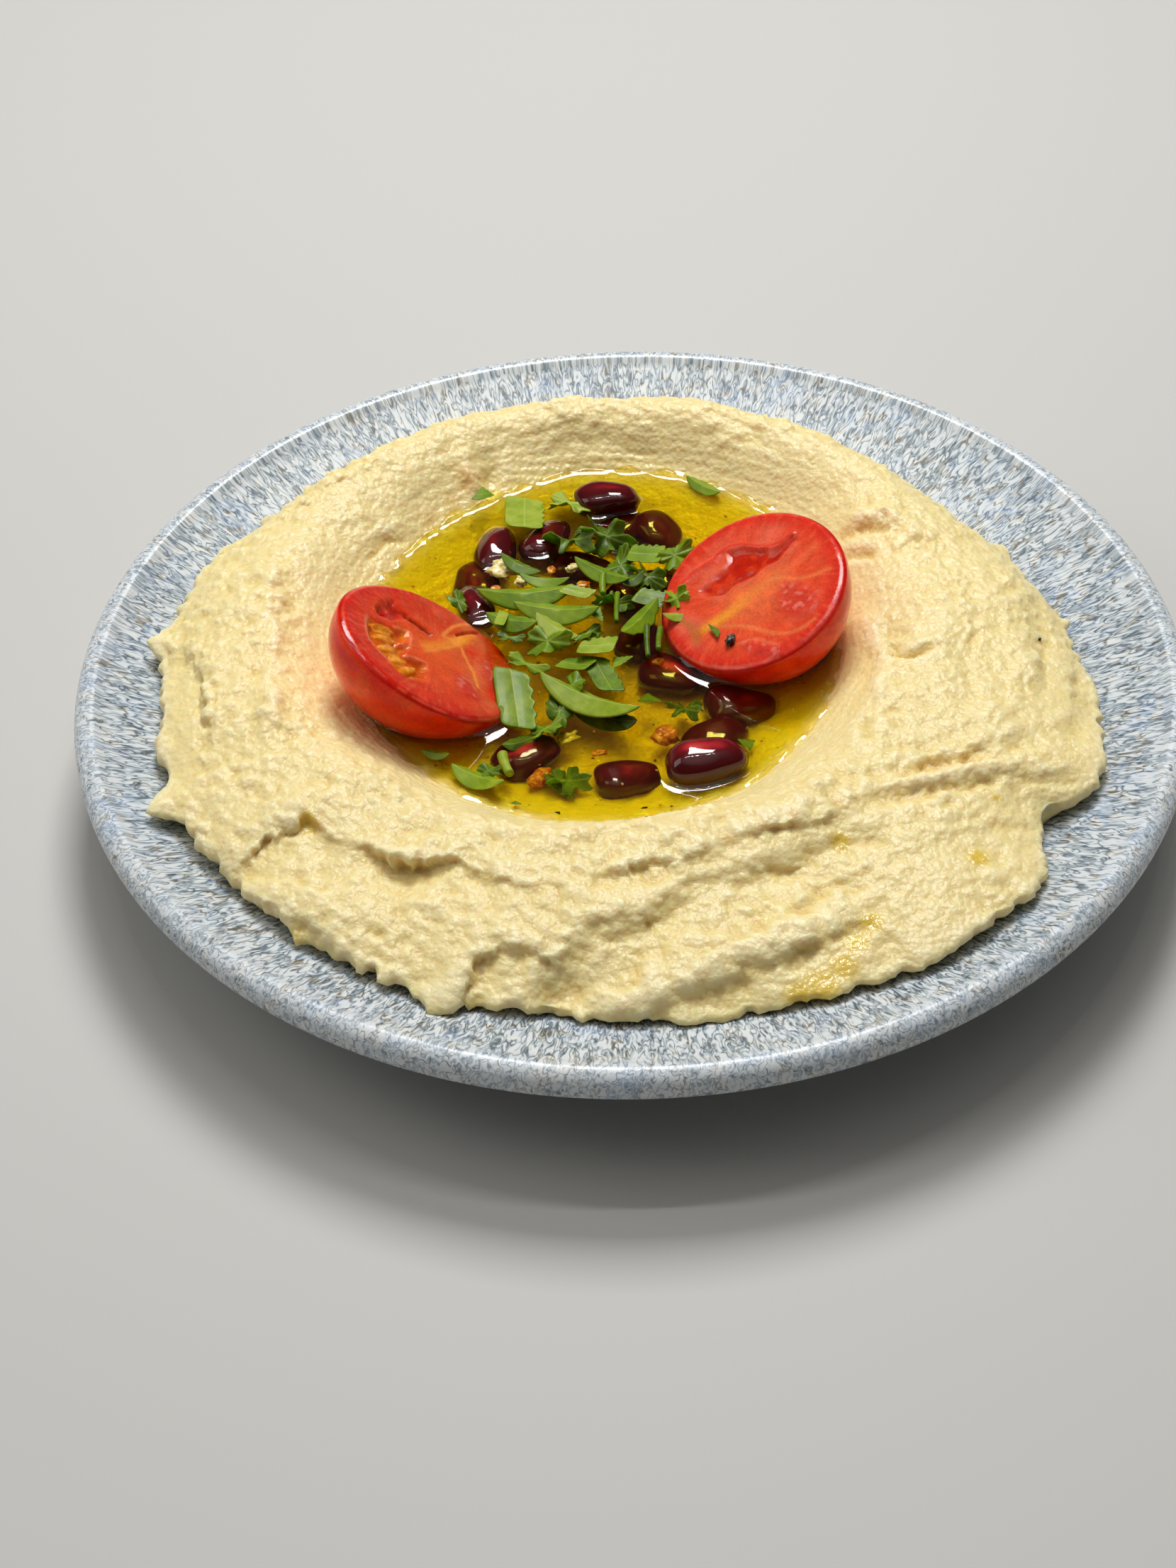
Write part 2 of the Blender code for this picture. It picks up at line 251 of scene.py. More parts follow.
shader = add_node(tree, "ShaderNodeBsdfPrincipled",
                  {"Base Color": colour, "Roughness": shine, "IOR": 1.45, "Normal": ripple,
                   "Coat Weight": 0.08, "Coat Roughness": 0.08})
add_node(tree, "ShaderNodeOutputMaterial", {"Surface": shader})

plate_rings = [circle(radius, height, PLATE_STEPS if radius > 0 else 1)
               for radius, height in plate_profile()]
add_piece("plate_glazed", ring_mesh("plate_glazed", plate_rings), glaze, ["plate"])

# ---------------------------------------------------------------------------
# Hummus: a thick paste of chickpeas and tahini, coarse from the blender. A
# spoon heaps it on the plate and turns a well into it, which leaves a smooth
# inner slope, long folds, torn ledges and pointed flicks at the edge.
# ---------------------------------------------------------------------------
WELL = np.array((-4.0, 10.0)) * MM
WELL_FLOOR = 9.5 * MM
WELL_CURVE = 3.5                  # power law of the well's bowl
OIL_LEVEL = 17.0 * MM
# (angle in degrees, radius or height in mm) round the well
POOL_EDGE = ((0, 38.5), (40, 43.5), (90, 46.0), (120, 42.5), (180, 41.0), (270, 46.0), (325, 41.0))
CREST_RADIUS = ((0, 57.0), (60, 57.5), (90, 57.5), (150, 57.0), (200, 59.0), (270, 55.0),
                (320, 58.0))
CREST_HEIGHT = ((0, 24.0), (60, 25.0), (100, 24.8), (160, 24.8), (215, 24.5), (270, 23.5),
                (320, 23.5))
OUTLINE = ((0, 76.8), (25, 69.5), (50, 67.0), (85, 66.0), (115, 65.0), (145, 65.5), (172, 71.5),
           (195, 74.5), (215, 79.5), (238, 83.0), (265, 85.0), (290, 88.5), (312, 90.5),
           (323, 83.5), (331, 86.6), (342, 82.6), (352, 79.0))
LIP_HEIGHT = ((0, 4.5), (60, 4.0), (120, 4.2), (170, 5.5), (200, 6.2), (222, 5.2), (245, 4.2),
              (290, 3.2), (330, 4.8))
LIP_ROUND = 1.7 * MM
LIP_START = 40                    # where round the lip the outer slope runs into it, degrees
LIP_END = -78                     # where round the lip it meets the plate
LIP_TUCK = 0.6 * MM               # how far the lip draws in below its middle
# Pointed flicks at the edge: angle, reach and upward lift in mm, half width in degrees
FLICKS = ((182, 3.8, 1.2, 2.6), (211, 5.2, 0.6, 2.8), (200, 2.0, -0.6, 2.4), (252, 3.2, -0.8, 3.2),
          (168, 1.5, 0.8, 1.6), (160, 1.8, 0.8, 1.8), (152, 1.6, 0.6, 1.6), (127, 1.7, 0.8, 1.7),
          (110, 1.0, 0.5, 1.5), (95, 1.2, 0.6, 1.8), (62, 2.4, 1.2, 2.2), (40, 1.2, 0.5, 1.8),
          (16, 1.4, 0.7, 2.0), (358, 1.4, 0.8, 2.0), (329, 1.2, 0.2, 1.6), (325, -1.6, 0.0, 1.6),
          (300, 1.0, 0.0, 2.0), (276, 1.2, 0.2, 1.6), (236, 1.6, 0.0, 2.0))
# Marks left in the paste: kind, height, width and raggedness in mm, and the
# points that the mark runs through; a step falls to the right of its run
MARKS = (
    ("step", 2.9, 1.5, 1.7, ((-66, -47), (-62, -45), (-57.5, -43), (-53.5, -40.3), (-50.6, -39.4),
                             (-46.9, -42), (-41, -45.6), (-34.9, -48), (-30, -48.2),
                             (-24, -51.5), (-18, -54), (-11, -56))),
    ("step", 1.3, 1.4, 1.3, ((-14, -54.5), (-9.3, -55.2), (-6.9, -53.4), (-1.1, -51), (5, -49.4),
                             (12.4, -47.1), (20, -44), (27, -42), (34, -38.5),
                             (42, -35.5))),
    ("step", 2.3, 1.5, 1.9, ((-60, -53), (-54, -56), (-49, -59), (-45, -62), (-43, -66), (-38, -70),
                             (-33, -74.5), (-28, -72), (-24, -67), (-18.6, -65),
                             (-13.5, -67.5), (-10, -65), (-6, -61.5))),
    ("step", 4.2, 5.5, 1.0, ((-20, -73), (-13, -69), (-6, -63.5), (0.5, -59.5), (8, -55.5), (17, -51.5),
                             (28, -47), (38, -44))),
    ("groove", 0.7, 1.1, 0.9, ((34, -34), (42, -33), (51, -30.8), (59, -27.3), (66, -23.5))),
    ("groove", 0.5, 1.0, 0.9, ((34, -40.8), (42, -38.6), (52, -35.8), (60, -34.4), (70, -33.2))),
    ("ridge", 0.6, 1.9, 1.0, ((36, -37.2), (46, -34.6), (58, -31.6), (68, -29.2))),
    ("step", 1.1, 2.8, 1.3, ((56, -28), (62.3, -17), (65.7, -6.3), (66.8, 3.7), (66.6, 16),
                             (63, 28), (57, 37))),
    ("step", 1.0, 2.0, 1.2, ((66, -26), (71.2, -12), (72, 1.2), (70.5, 13), (67, 22))),
    ("step", 0.7, 2.5, 1.2, ((48, -18), (55, -6), (56.5, 6), (55, 18), (50, 30), (42, 40))),
    ("groove", 0.8, 1.1, 0.9, ((34.5, 30.5), (38, 30), (42, 29.4), (46, 27.4))),
    ("ridge", 1.0, 1.8, 1.0, ((32, 38.5), (37, 34.5), (42, 32.6), (48, 31))),
    ("groove", 1.1, 0.9, 0.7, ((36.5, 26.4), (39.5, 24), (43, 21.5))),
    ("groove", 1.2, 0.8, 0.4, ((36, -20), (36.2, -23), (36, -25.5))),
    ("groove", 1.2, 0.9, 0.8, ((41.5, -2.4), (45.8, -5.4), (51, -4.6))),
    ("ridge", 1.2, 2.2, 1.2, ((38, 9), (40, 1), (40, -8.8), (37, -19), (33, -27))),
    ("ridge", 0.9, 2.0, 0.8, ((-6, -74), (7.5, -69.2), (14.6, -66.4), (22, -63.4), (32, -57.5),
                              (42, -50))),
    ("step", 1.6, 1.8, 1.0, ((-8, -77), (1, -75.2), (9, -72), (17, -69.4), (26, -65.5), (34, -61))),
    ("step", 0.6, 1.8, 1.2, ((10, -61), (24, -57), (36, -51), (50, -44.5), (60, -40))),
    ("step", 1.3, 1.9, 1.3, ((-79, 9), (-74.5, 3.6), (-70.5, -0.8), (-69, -6), (-68.4, -12),
                             (-66.7, -19), (-67.9, -26), (-70, -31))),
    ("step", 1.2, 1.5, 1.2, ((-75, -33), (-69.5, -37.5), (-65.6, -41), (-61, -43.6))),
    ("ridge", 1.1, 2.0, 1.2, ((-60, 22), (-59, 8), (-57.5, -6), (-57, -20), (-59, -32))),
    ("step", 0.8, 1.8, 1.2, ((-66, 26), (-60, 36), (-50, 45), (-40, 52))),
    ("groove", 0.6, 1.2, 0.9, ((-12, 59), (-5, 60), (1, 58.7), (8, 57))),
    ("ridge", 1.3, 1.5, 1.0, ((-27.5, 56), (-26.6, 51), (-25.6, 46))),
    ("groove", 1.0, 1.7, 0.9, ((-24.5, 57), (-23.6, 52), (-22, 47.6))),
    ("groove", 0.7, 1.0, 1.0, ((-46, 29), (-41, 34), (-35, 37.5))),
    ("step", 0.9, 1.9, 1.4, ((8, 66), (-4, 68), (-18, 68), (-30, 66))),
    ("step", 0.8, 1.8, 1.4, ((50, 45), (38, 56), (26, 62), (14, 65))),
)
STEP_OVERHANG = 0.45              # how far a torn brink leans out, as a share of its height
STEP_FADE = 7.5 * MM              # how far past its brink a step has died out
MARK_REACH = 14.0 * MM            # how far from its run a mark can be felt
SKINS = ((21.5, -74, 2.2), (25, -72.2, 2.6), (28.2, -69.4, 2.4), (30.4, -66, 1.9),
         (33, -62.4, 1.7), (49.9, -50.9, 1.9), (30, -47, 1.3), (54.6, -38.1, 0.9),
         (-50.2, -39.8, 1.2))     # chickpea skins: x, y and radius in mm
# Orange-tan marks, most of them in the folds and grooves: x, y and radius in mm
FOLD_TINTS = ((-27, 50.5, 2.6), (-33.5, 41.5, 2.0), (-30, 46, 2.2), (-48.5, -40.6, 1.3),
          (-41, -45.8, 0.8), (-33, -49.3, 0.9), (51, -31, 1.6), (46, -32.2, 1.4), (39, 30, 1.6),
          (13, -47.6, 0.9), (18, -45.6, 0.9), (23, -43.8, 0.9), (30, -41, 1.0))
RIPPLE_SPACING = 1.5 * MM         # fine rings that the spoon drew by the oil
RIPPLE_HEIGHT = 0.08 * MM
LUMP_SIZE = 5.5 * MM              # soft swells, curds of chickpea and fine grains
LUMP_HEIGHT = 1.05 * MM
CURD_SIZE = 2.2 * MM
CURD_HEIGHT = 0.88 * MM
GRAIN_SIZE = 1.15 * MM
GRAIN_HEIGHT = 0.36 * MM
RAGGED_BROAD = (1.3 * MM, 5.5 * MM)     # height and size of the outline's unevenness
RAGGED_FINE = (1.0 * MM, 3.0 * MM)
UNDER_INSET = 2.6 * MM            # how far inside the outline the underside starts
BED_OVERLAP = 0.2 * MM            # how deep the underside lies in the plate, so no gap shows
WELL_RINGS = 26
BOWL_RINGS = 34
INNER_RINGS = 38                  # from the oil's edge to the crest
OUTER_RINGS = 62                  # from the crest to the lip
LIP_RINGS = 10
FINE = 720                        # points round the outer rings


def hermite(u, start, end, slope_start, slope_end):
    """Cubic from start to end as u runs from 0 to 1, with the slopes given."""
    return (start * (2 * u ** 3 - 3 * u ** 2 + 1) + slope_start * (u ** 3 - 2 * u ** 2 + u)
            + end * (3 * u ** 2 - 2 * u ** 3) + slope_end * (u ** 3 - u ** 2))


def around(table, degrees):
    """Smooth values at angles, read from a ring of (angle, value in mm) pairs."""
    at, value = np.array(table, float).T
    here = np.searchsorted(at, degrees % 360, side="right") - 1
    there = (here + 1) % len(at)
    before, after = here - 1, (here + 2) % len(at)
    span = (at[there] - at[here]) % 360
    slope_here = (value[there] - value[before]) / ((at[there] - at[before]) % 360) * span
    slope_there = (value[after] - value[here]) / ((at[after] - at[here]) % 360) * span
    u = ((degrees - at[here]) % 360) / span
    return hermite(u, value[here], value[there], slope_here, slope_there) * MM


def unevenness(points, size):
    """Soft noise between about -1 and 1 at each point, with bumps of a size."""
    return np.array([noise.noise(point) for point in (points / size).tolist()])


def flicks(degrees, column):
    """Sum of the flicks at each angle; column 1 is their reach and 2 their lift."""
    total = np.zeros(len(degrees))
    for flick in FLICKS:
        off = (degrees - flick[0] + 180) % 360 - 180
        total += flick[column] * MM * np.exp(-(np.abs(off) / flick[3]) ** 1.3)
    return total


def mound_ring(station, count):
    """A ring of the mound's surface.

    The station runs 0 to 1 from the well's middle to the oil's edge, 1 to 2
    up to the crest, 2 to 3 down to the lip, and 3 to 4 round the lip.
    """
    degrees = np.linspace(0, 360, count, endpoint=False)
    pool, crest = around(POOL_EDGE, degrees), around(CREST_RADIUS, degrees)
    top, edge = around(CREST_HEIGHT, degrees), around(OUTLINE, degrees)
    half = around(LIP_HEIGHT, degrees) / 2
    turn = np.radians(degrees)
    away = np.hypot(WELL[0] + edge * np.cos(turn), WELL[1] + edge * np.sin(turn))
    middle = plate_top(away) + half
    bowl = OIL_LEVEL - WELL_FLOOR
    start = math.radians(LIP_START)
    lip_radius = edge - LIP_ROUND * (1 - math.cos(start))
    lip_height = middle + half * math.sin(start)
    if station <= 1:
        radius = station * pool
        height = WELL_FLOOR + bowl * station ** WELL_CURVE
    elif station <= 2:
        radius = pool + (station - 1) * (crest - pool)
        slope = bowl * WELL_CURVE / pool * (crest - pool)
        height = hermite(station - 1, OIL_LEVEL, top, slope, 0.0)
    elif station <= 3:
        radius = crest + (station - 2) * (lip_radius - crest)
        fall = -half / LIP_ROUND / math.tan(start) * (lip_radius - crest)
        height = hermite(station - 2, top, lip_height, 0.0, np.maximum(fall, 2.3 * (lip_height - top)))
    else:
        bend = start - (station - 3) * (start - math.radians(LIP_END))
        radius = edge - LIP_ROUND * (1 - math.cos(bend)) - LIP_TUCK * max(0.0, -math.sin(bend))
        height = middle + half * math.sin(bend) - 0.15 * MM * (station > 3.95)
    pull = max(0.0, min(1.0, (station - 2.72) / 0.4)) ** 2 * max(0.0, min(1.0, (3.9 - station) / 0.6))
    rim = np.column_stack((edge * np.cos(turn), edge * np.sin(turn), np.full(count, 0.3 * MM * station)))
    ragged = (RAGGED_BROAD[0] * unevenness(rim, RAGGED_BROAD[1])
              + RAGGED_FINE[0] * (0.6 - 2.4 * np.abs(unevenness(rim + 0.1, RAGGED_FINE[1]))))
    radius = radius + (flicks(degrees, 1) + ragged) * pull
    height = height + flicks(degrees, 2) * pull
    return np.column_stack((WELL[0] + radius * np.cos(turn), WELL[1] + radius * np.sin(turn), height))


def under_ring(share, count):
    """A ring of the mound's underside, at a share of the way out from its middle."""
    degrees = np.linspace(0, 360, count, endpoint=False)
    turn = np.radians(degrees)
    radius = share * (around(OUTLINE, degrees) - UNDER_INSET)
    x, y = WELL[0] + radius * np.cos(turn), WELL[1] + radius * np.sin(turn)
    return np.column_stack((x, y, plate_top(np.hypot(x, y)) - BED_OVERLAP))


def smooth_path(points, count):
    """Points in metres along a smooth line through the given ones in mm."""
    knots = np.array(points, float) * MM
    slopes = np.gradient(knots, axis=0)
    spot = np.linspace(0, len(knots) - 1, count)
    k = np.minimum(spot.astype(int), len(knots) - 2)
    return hermite((spot - k)[:, None], knots[k], knots[k + 1], slopes[k], slopes[k + 1])


def beside(spots, path):
    """Distance to the right of a path, share of the way along it, and the way right."""
    far = np.full(len(spots), 1e9)
    along = np.zeros(len(spots))
    right = np.zeros((len(spots), 2))
    side = np.ones(len(spots))
    for i in range(len(path) - 1):
        step = path[i + 1] - path[i]
        off = spots - path[i]
        share = np.clip(off @ step / (step @ step), 0, 1)
        gap = np.linalg.norm(off - share[:, None] * step, axis=1)
        nearer = gap < far
        far[nearer] = gap[nearer]
        along[nearer] = (i + share[nearer]) / (len(path) - 1)
        right[nearer] = np.array((step[1], -step[0])) / np.linalg.norm(step)
        side[nearer] = np.sign(off[nearer] @ np.array((step[1], -step[0])))
    return far * side, along, right


def gap_to(rounds, spots):
    """How far each spot is from the nearest round's middle, as a share of that round's radius."""
    gaps = [np.hypot(spots[:, 0] - x * MM, spots[:, 1] - y * MM) / (size * MM)
            for x, y, size in rounds]
    return np.min(gaps, axis=0)


def press_marks(points, free):
    """Press the spoon's marks into the mound; free is how far each point may move.

    Returns how near each point is to a torn brink and to the calm paste under it.
    """
    wander = unevenness(points, 4.8 * MM) + 0.8 * np.abs(unevenness(points + 0.05, 2.6 * MM)) - 0.2
    torn, calm = np.zeros(len(points)), np.zeros(len(points))
    for kind, height, width, ragged, run in MARKS:
        height, width, ragged = height * MM, width * MM, ragged * MM
        path = smooth_path(run, 6 * len(run))
        near = np.flatnonzero(np.all((points[:, :2] > path.min(axis=0) - MARK_REACH)
                                     & (points[:, :2] < path.max(axis=0) + MARK_REACH), axis=1)
                              & (free > 0))
        off, along, right = beside(points[near, :2], path)
        off = off + ragged * wander[near]
        swell = np.sin(np.pi * np.clip(along, 0.0, 1.0)) ** 0.5 * free[near]
        swell *= np.clip(0.85 + 1.1 * unevenness(points[near] + 0.2, 11 * MM), 0.15, 1.4)
        if kind == "groove":
            brinks = np.exp(-((np.abs(off) - 2.3 * width) / (1.2 * width)) ** 2)
            lift = 0.4 * brinks - np.exp(-(off / width) ** 2)
        elif kind == "ridge":
            lift = np.exp(-(off / width) ** 2)
        else:
            fallen = 1 / (1 + np.exp(np.clip(-5 * off / width, -40, 40)))
            past = np.maximum(off, 0)
            lift = (0.38 * np.exp(-((off + 1.2 * width) / (2.4 * width)) ** 2)
                    - 0.80 * fallen * np.exp(-(past / STEP_FADE) ** 2))
            lean = (np.exp(-((off + 0.6 * width) / width) ** 2)
                    - 0.7 * np.exp(-((off - 0.9 * width) / (0.8 * width)) ** 2))
            points[near, :2] += right * (STEP_OVERHANG * height * lean * swell)[:, None]
            calm[near] = np.maximum(calm[near], np.exp(-((off - 4 * MM) / (2.6 * MM)) ** 2) * swell)
        points[near, 2] += height * lift * swell
        torn[near] += np.exp(-((off + 0.8 * width) / (2.2 * width)) ** 2) * swell
    return torn, calm


def read(mesh, name, size):
    """An attribute of a mesh's points as an array."""
    data = np.empty(len(mesh.vertices) * size)
    source = mesh.vertices if name == "co" else mesh.attributes[name].data
    source.foreach_get("co" if name == "co" else "value", data)
    return data.reshape(-1, size)


def store(mesh, name, values):
    """Keep one number for each point of a mesh under a name."""
    layer = mesh.attributes.new(name, "FLOAT", "POINT")
    layer.data.foreach_set("value", values)


def grow(piece, tree, **inputs):
    """Run a geometry tree on a piece, keep the plain mesh that it makes."""
    modifier = piece.modifiers.new(tree.name, "NODES")
    modifier.node_group = tree
    for item in tree.interface.items_tree:
        key = item.name.lower().replace(" ", "_")
        if key in inputs:
            modifier[item.identifier] = inputs[key]
    evaluated = piece.evaluated_get(bpy.context.evaluated_depsgraph_get())
    mesh = bpy.data.meshes.new_from_object(evaluated)
    piece.modifiers.clear()
    piece.data = mesh
    return mesh


def new_tree(name, **inputs):
    """A geometry tree with a geometry in and out and named inputs; returns its input node."""
    tree = bpy.data.node_groups.new(name, "GeometryNodeTree")
    tree.interface.new_socket("Geometry", in_out="INPUT", socket_type="NodeSocketGeometry")
    for key, kind in inputs.items():
        tree.interface.new_socket(key.replace("_", " ").capitalize(), in_out="INPUT",
                                  socket_type=f"NodeSocket{kind}")
    tree.interface.new_socket("Geometry", in_out="OUTPUT", socket_type="NodeSocketGeometry")
    return tree, add_node(tree, "NodeGroupInput").outputs


# Hummus: satin paste that light enters, cream, with painted light that makes
# its tops paler and painted shade that makes its creases warm yellow, and
# yellow chickpea skins; oil makes it darker and wet
paste, tree = new_material("hummus_paste")
spot = add_node(tree, "ShaderNodeTexCoord").outputs["Object"]
mottle = add_node(tree, "ShaderNodeTexNoise", {"Vector": spot, "Scale": 1 / (8 * MM), "Detail": 3.0})
curd = add_node(tree, "ShaderNodeTexNoise",
                {"Vector": spot, "Scale": 1 / (2.2 * MM), "Detail": 2.0, "Roughness": 0.5})
fine = add_node(tree, "ShaderNodeTexNoise",
                {"Vector": spot, "Scale": 1 / (0.8 * MM), "Detail": 2.0, "Roughness": 0.55})
stand = add_node(tree, "ShaderNodeAttribute", attribute_name="stand").outputs["Fac"]
cream = add_node(tree, "ShaderNodeValToRGB", {"Fac": mottle}, stops=(
    (0.30, "#e9d491"), (0.50, "#ecd899"), (0.70, "#eedda4")))
curdy = add_node(tree, "ShaderNodeValToRGB", {"Fac": curd}, stops=(
    (0.30, "#e8cf84"), (0.50, "#ecd899"), (0.68, "#f2e3ae")))
mixed = add_node(tree, "ShaderNodeMix", {"Factor": 0.5, "A": cream, "B": curdy}, data_type="RGBA")
level = add_node(tree, "ShaderNodeMapRange", {"Value": stand, "From Min": -1.0, "From Max": 1.0})
# Painted light and shade: the colour runs from warm yellow in the creases to pale on the tops
painted_light_by_height = add_node(tree, "ShaderNodeValToRGB", {"Fac": level}, stops=(
    (0.0, "#d9b35a"), (0.22, "#e5c97c"), (0.42, "#ecd998"), (0.62, "#efdda4"), (0.9, "#f8ecc4")))
cream_with_painted_light = add_node(tree, "ShaderNodeMix", {"Factor": 0.5, "A": mixed, "B": painted_light_by_height}, data_type="RGBA")
colour = cream_with_painted_light
shown = {}
# Orange-tan marks in the folds and grooves, yellow chickpea skins, and oil-soaked paste
for name, paint in (("fold_tint", "#d3a24c"), ("skin", "#e3c455"), ("wet", "#f2dc94")):
    shown[name] = add_node(tree, "ShaderNodeAttribute", attribute_name=name).outputs["Fac"]
    colour = add_node(tree, "ShaderNodeMix",
                      {"Factor": shown[name], "A": colour, "B": linear(paint)}, data_type="RGBA")
gloss = add_node(tree, "ShaderNodeMath", {"Value": shown["wet"], "Value_001": shown["skin"]},
                 operation="MAXIMUM")
shine = add_node(tree, "ShaderNodeMapRange", {"Value": gloss, "To Min": 0.40, "To Max": 0.16})
crumbly = add_node(tree, "ShaderNodeTexVoronoi",
                   {"Vector": spot, "Scale": 1 / (0.95 * MM), "Smoothness": 0.4}, feature="SMOOTH_F1")
rough = add_node(tree, "ShaderNodeMath", {"Value": fine, "Value_001": crumbly.outputs["Distance"]},
                 operation="SUBTRACT")
relief = add_node(tree, "ShaderNodeBump",
                  {"Height": rough, "Strength": 0.6, "Distance": 0.3 * MM})
shader = add_node(tree, "ShaderNodeBsdfPrincipled",
                  {"Base Color": colour, "Roughness": shine, "IOR": 1.45, "Normal": relief,
                   "Subsurface Weight": 0.6, "Subsurface Radius": (1.0, 0.60, 0.22),
                   "Subsurface Scale": 2.1 * MM})
add_node(tree, "ShaderNodeOutputMaterial", {"Surface": shader})

# The relief of the paste: soft swells drawn out the way the spoon went, round
# curds with creases between them, and smaller grains on top
tree, given = new_tree("paste_relief", lump_size="Float", lump_height="Float", curd_size="Float",
                       curd_height="Float", grain_size="Float", grain_height="Float",
                       well="Vector", finish="Material")
position = add_node(tree, "GeometryNodeInputPosition")
coarse = add_node(tree, "GeometryNodeInputNamedAttribute", {"Name": "coarse"}, data_type="FLOAT")
from_well = add_node(tree, "ShaderNodeVectorMath", {"Vector": position, "Vector_001": given["Well"]},
                     operation="SUBTRACT")
flat = add_node(tree, "ShaderNodeVectorMath", {"Vector": from_well, "Vector_001": (1, 1, 0)},
                operation="MULTIPLY")
outward = add_node(tree, "ShaderNodeVectorMath", {"Vector": flat}, operation="NORMALIZE")
swept = add_node(tree, "ShaderNodeVectorMath", {"Vector": outward, "Scale": 42 * MM},
                 operation="SCALE")
reach = add_node(tree, "ShaderNodeVectorMath", {"Vector": from_well}, operation="LENGTH")
drawn = add_node(tree, "ShaderNodeVectorMath",
                 {"Vector": swept,
                  "Vector_001": add_node(tree, "ShaderNodeCombineXYZ", {"Z": reach.outputs["Value"]})},
                 operation="ADD")
bend = add_node(tree, "ShaderNodeTexNoise", {"Vector": position, "Scale": 1 / (3.2 * MM)})
bend_by = add_node(tree, "ShaderNodeVectorMath", {"Vector": bend.outputs["Color"], "Scale": 2.2 * MM},
                   operation="SCALE")
bent = add_node(tree, "ShaderNodeVectorMath", {"Vector": position, "Vector_001": bend_by},
                operation="ADD")
total = None
for size_name, height_name, middle in (("Lump size", "Lump height", 0.5),
                                       ("Curd size", "Curd height", 0.45),
                                       ("Grain size", "Grain height", 0.45)):
    scale = add_node(tree, "ShaderNodeMath", {"Value": 1.0, "Value_001": given[size_name]},
                     operation="DIVIDE")
    if size_name == "Lump size":
        wave = add_node(tree, "ShaderNodeTexNoise", {"Vector": drawn, "Scale": scale, "Detail": 1.0})
        above = add_node(tree, "ShaderNodeMath", {"Value": wave, "Value_001": middle},
                         operation="SUBTRACT")
    else:
        wave = add_node(tree, "ShaderNodeTexVoronoi",
                        {"Vector": bent, "Scale": scale, "Smoothness": 0.35}, feature="SMOOTH_F1")
        above = add_node(tree, "ShaderNodeMath",
                         {"Value": middle, "Value_001": wave.outputs["Distance"]},
                         operation="SUBTRACT")
    part = add_node(tree, "ShaderNodeMath", {"Value": above, "Value_001": given[height_name]},
                    operation="MULTIPLY")
    total = part if total is None else add_node(
        tree, "ShaderNodeMath", {"Value": total, "Value_001": part}, operation="ADD")
rise = add_node(tree, "ShaderNodeMath", {"Value": total, "Value_001": coarse}, operation="MULTIPLY")
push = add_node(tree, "ShaderNodeVectorMath",
                {"Vector": add_node(tree, "GeometryNodeInputNormal"), "Scale": rise},
                operation="SCALE")
moved = add_node(tree, "GeometryNodeSetPosition", {"Geometry": given["Geometry"], "Offset": push})
real = add_node(tree, "GeometryNodeRealizeInstances", {"Geometry": moved})
dressed = add_node(tree, "GeometryNodeSetMaterial", {"Geometry": real, "Material": given["Finish"]})
add_node(tree, "NodeGroupOutput", {"Geometry": dressed})

# Each ring's station and count of points; the rings of one count share one spacing
stations = ([(k / WELL_RINGS * 0.5, FINE // 4) for k in range(1, WELL_RINGS)]
            + [(0.5 + k / BOWL_RINGS * 0.5, FINE // 2) for k in range(BOWL_RINGS)]
            + [(1 + k / INNER_RINGS, FINE) for k in range(INNER_RINGS)]
            + [(2 + k / OUTER_RINGS, FINE) for k in range(OUTER_RINGS)]
            + [(3 + k / LIP_RINGS, FINE) for k in range(LIP_RINGS + 1)])
rings = [mound_ring(0.0, 1)] + [mound_ring(station, count) for station, count in stations]
lower = [under_ring(0.985, FINE), under_ring(0.95, FINE // 2), under_ring(0.85, FINE // 4),
         under_ring(0.5, FINE // 4), under_ring(0.0, 1)]
ring_ends = np.cumsum([len(ring) for ring in rings])[:-1]
spots = np.concatenate(rings)
of_station = np.concatenate([[0.0]] + [np.full(count, station) for station, count in stations])
free = np.clip((of_station - 1.0) / 0.25, 0, 1) * np.clip((3.9 - of_station) / 0.6, 0, 1)
broad = unevenness(spots, 14 * MM)
spots[:, 2] += 0.9 * MM * broad * free
torn, calm = press_marks(spots, free)
spoon_drawn = np.clip((of_station - 0.97) / 0.06, 0, 1) * np.clip((1.8 - of_station) / 0.55, 0, 1)
off_well = np.linalg.norm(spots[:, :2] - WELL, axis=1)
spots[:, 2] += (RIPPLE_HEIGHT * spoon_drawn
                * np.sin(2 * np.pi * off_well / RIPPLE_SPACING + 3 * unevenness(spots, 9 * MM)))
patches = unevenness(spots + 0.3, 9 * MM)
smoother = 0.30 * np.clip(0.5 + (spots[:, 0] + spots[:, 1]) / (90 * MM), 0, 1)
coarse = (1.0 + 0.95 * patches + 0.45 * torn - smoother) * (1 - 0.55 * calm) * (1 - 0.72 * spoon_drawn)
coarse *= np.where(of_station < 1, 0.8, 1.0) * np.clip((4.02 - of_station) / 0.2, 0, 1)
skins = np.clip(1.6 - 1.3 * gap_to(SKINS, spots) + 0.5 * patches, 0, 1)
coarse *= 1 - 0.75 * skins
under_count = sum(len(ring) for ring in lower)
hummus_mesh = ring_mesh("hummus_spooned", np.split(spots, ring_ends) + lower)
store(hummus_mesh, "coarse", np.concatenate((np.clip(coarse, 0, 2), np.zeros(under_count))))
store(hummus_mesh, "skin", np.concatenate((skins, np.zeros(under_count))))
hummus = add_piece("hummus_spooned", hummus_mesh, paste, ["hummus"])
hummus_mesh = grow(hummus, tree, lump_size=LUMP_SIZE, lump_height=LUMP_HEIGHT,
                   curd_size=CURD_SIZE, curd_height=CURD_HEIGHT, grain_size=GRAIN_SIZE,
                   grain_height=GRAIN_HEIGHT, well=(*WELL, 0.0), finish=paste)
spots = read(hummus_mesh, "co", 3)
of_station = np.concatenate((of_station, np.full(under_count, 4.0)))
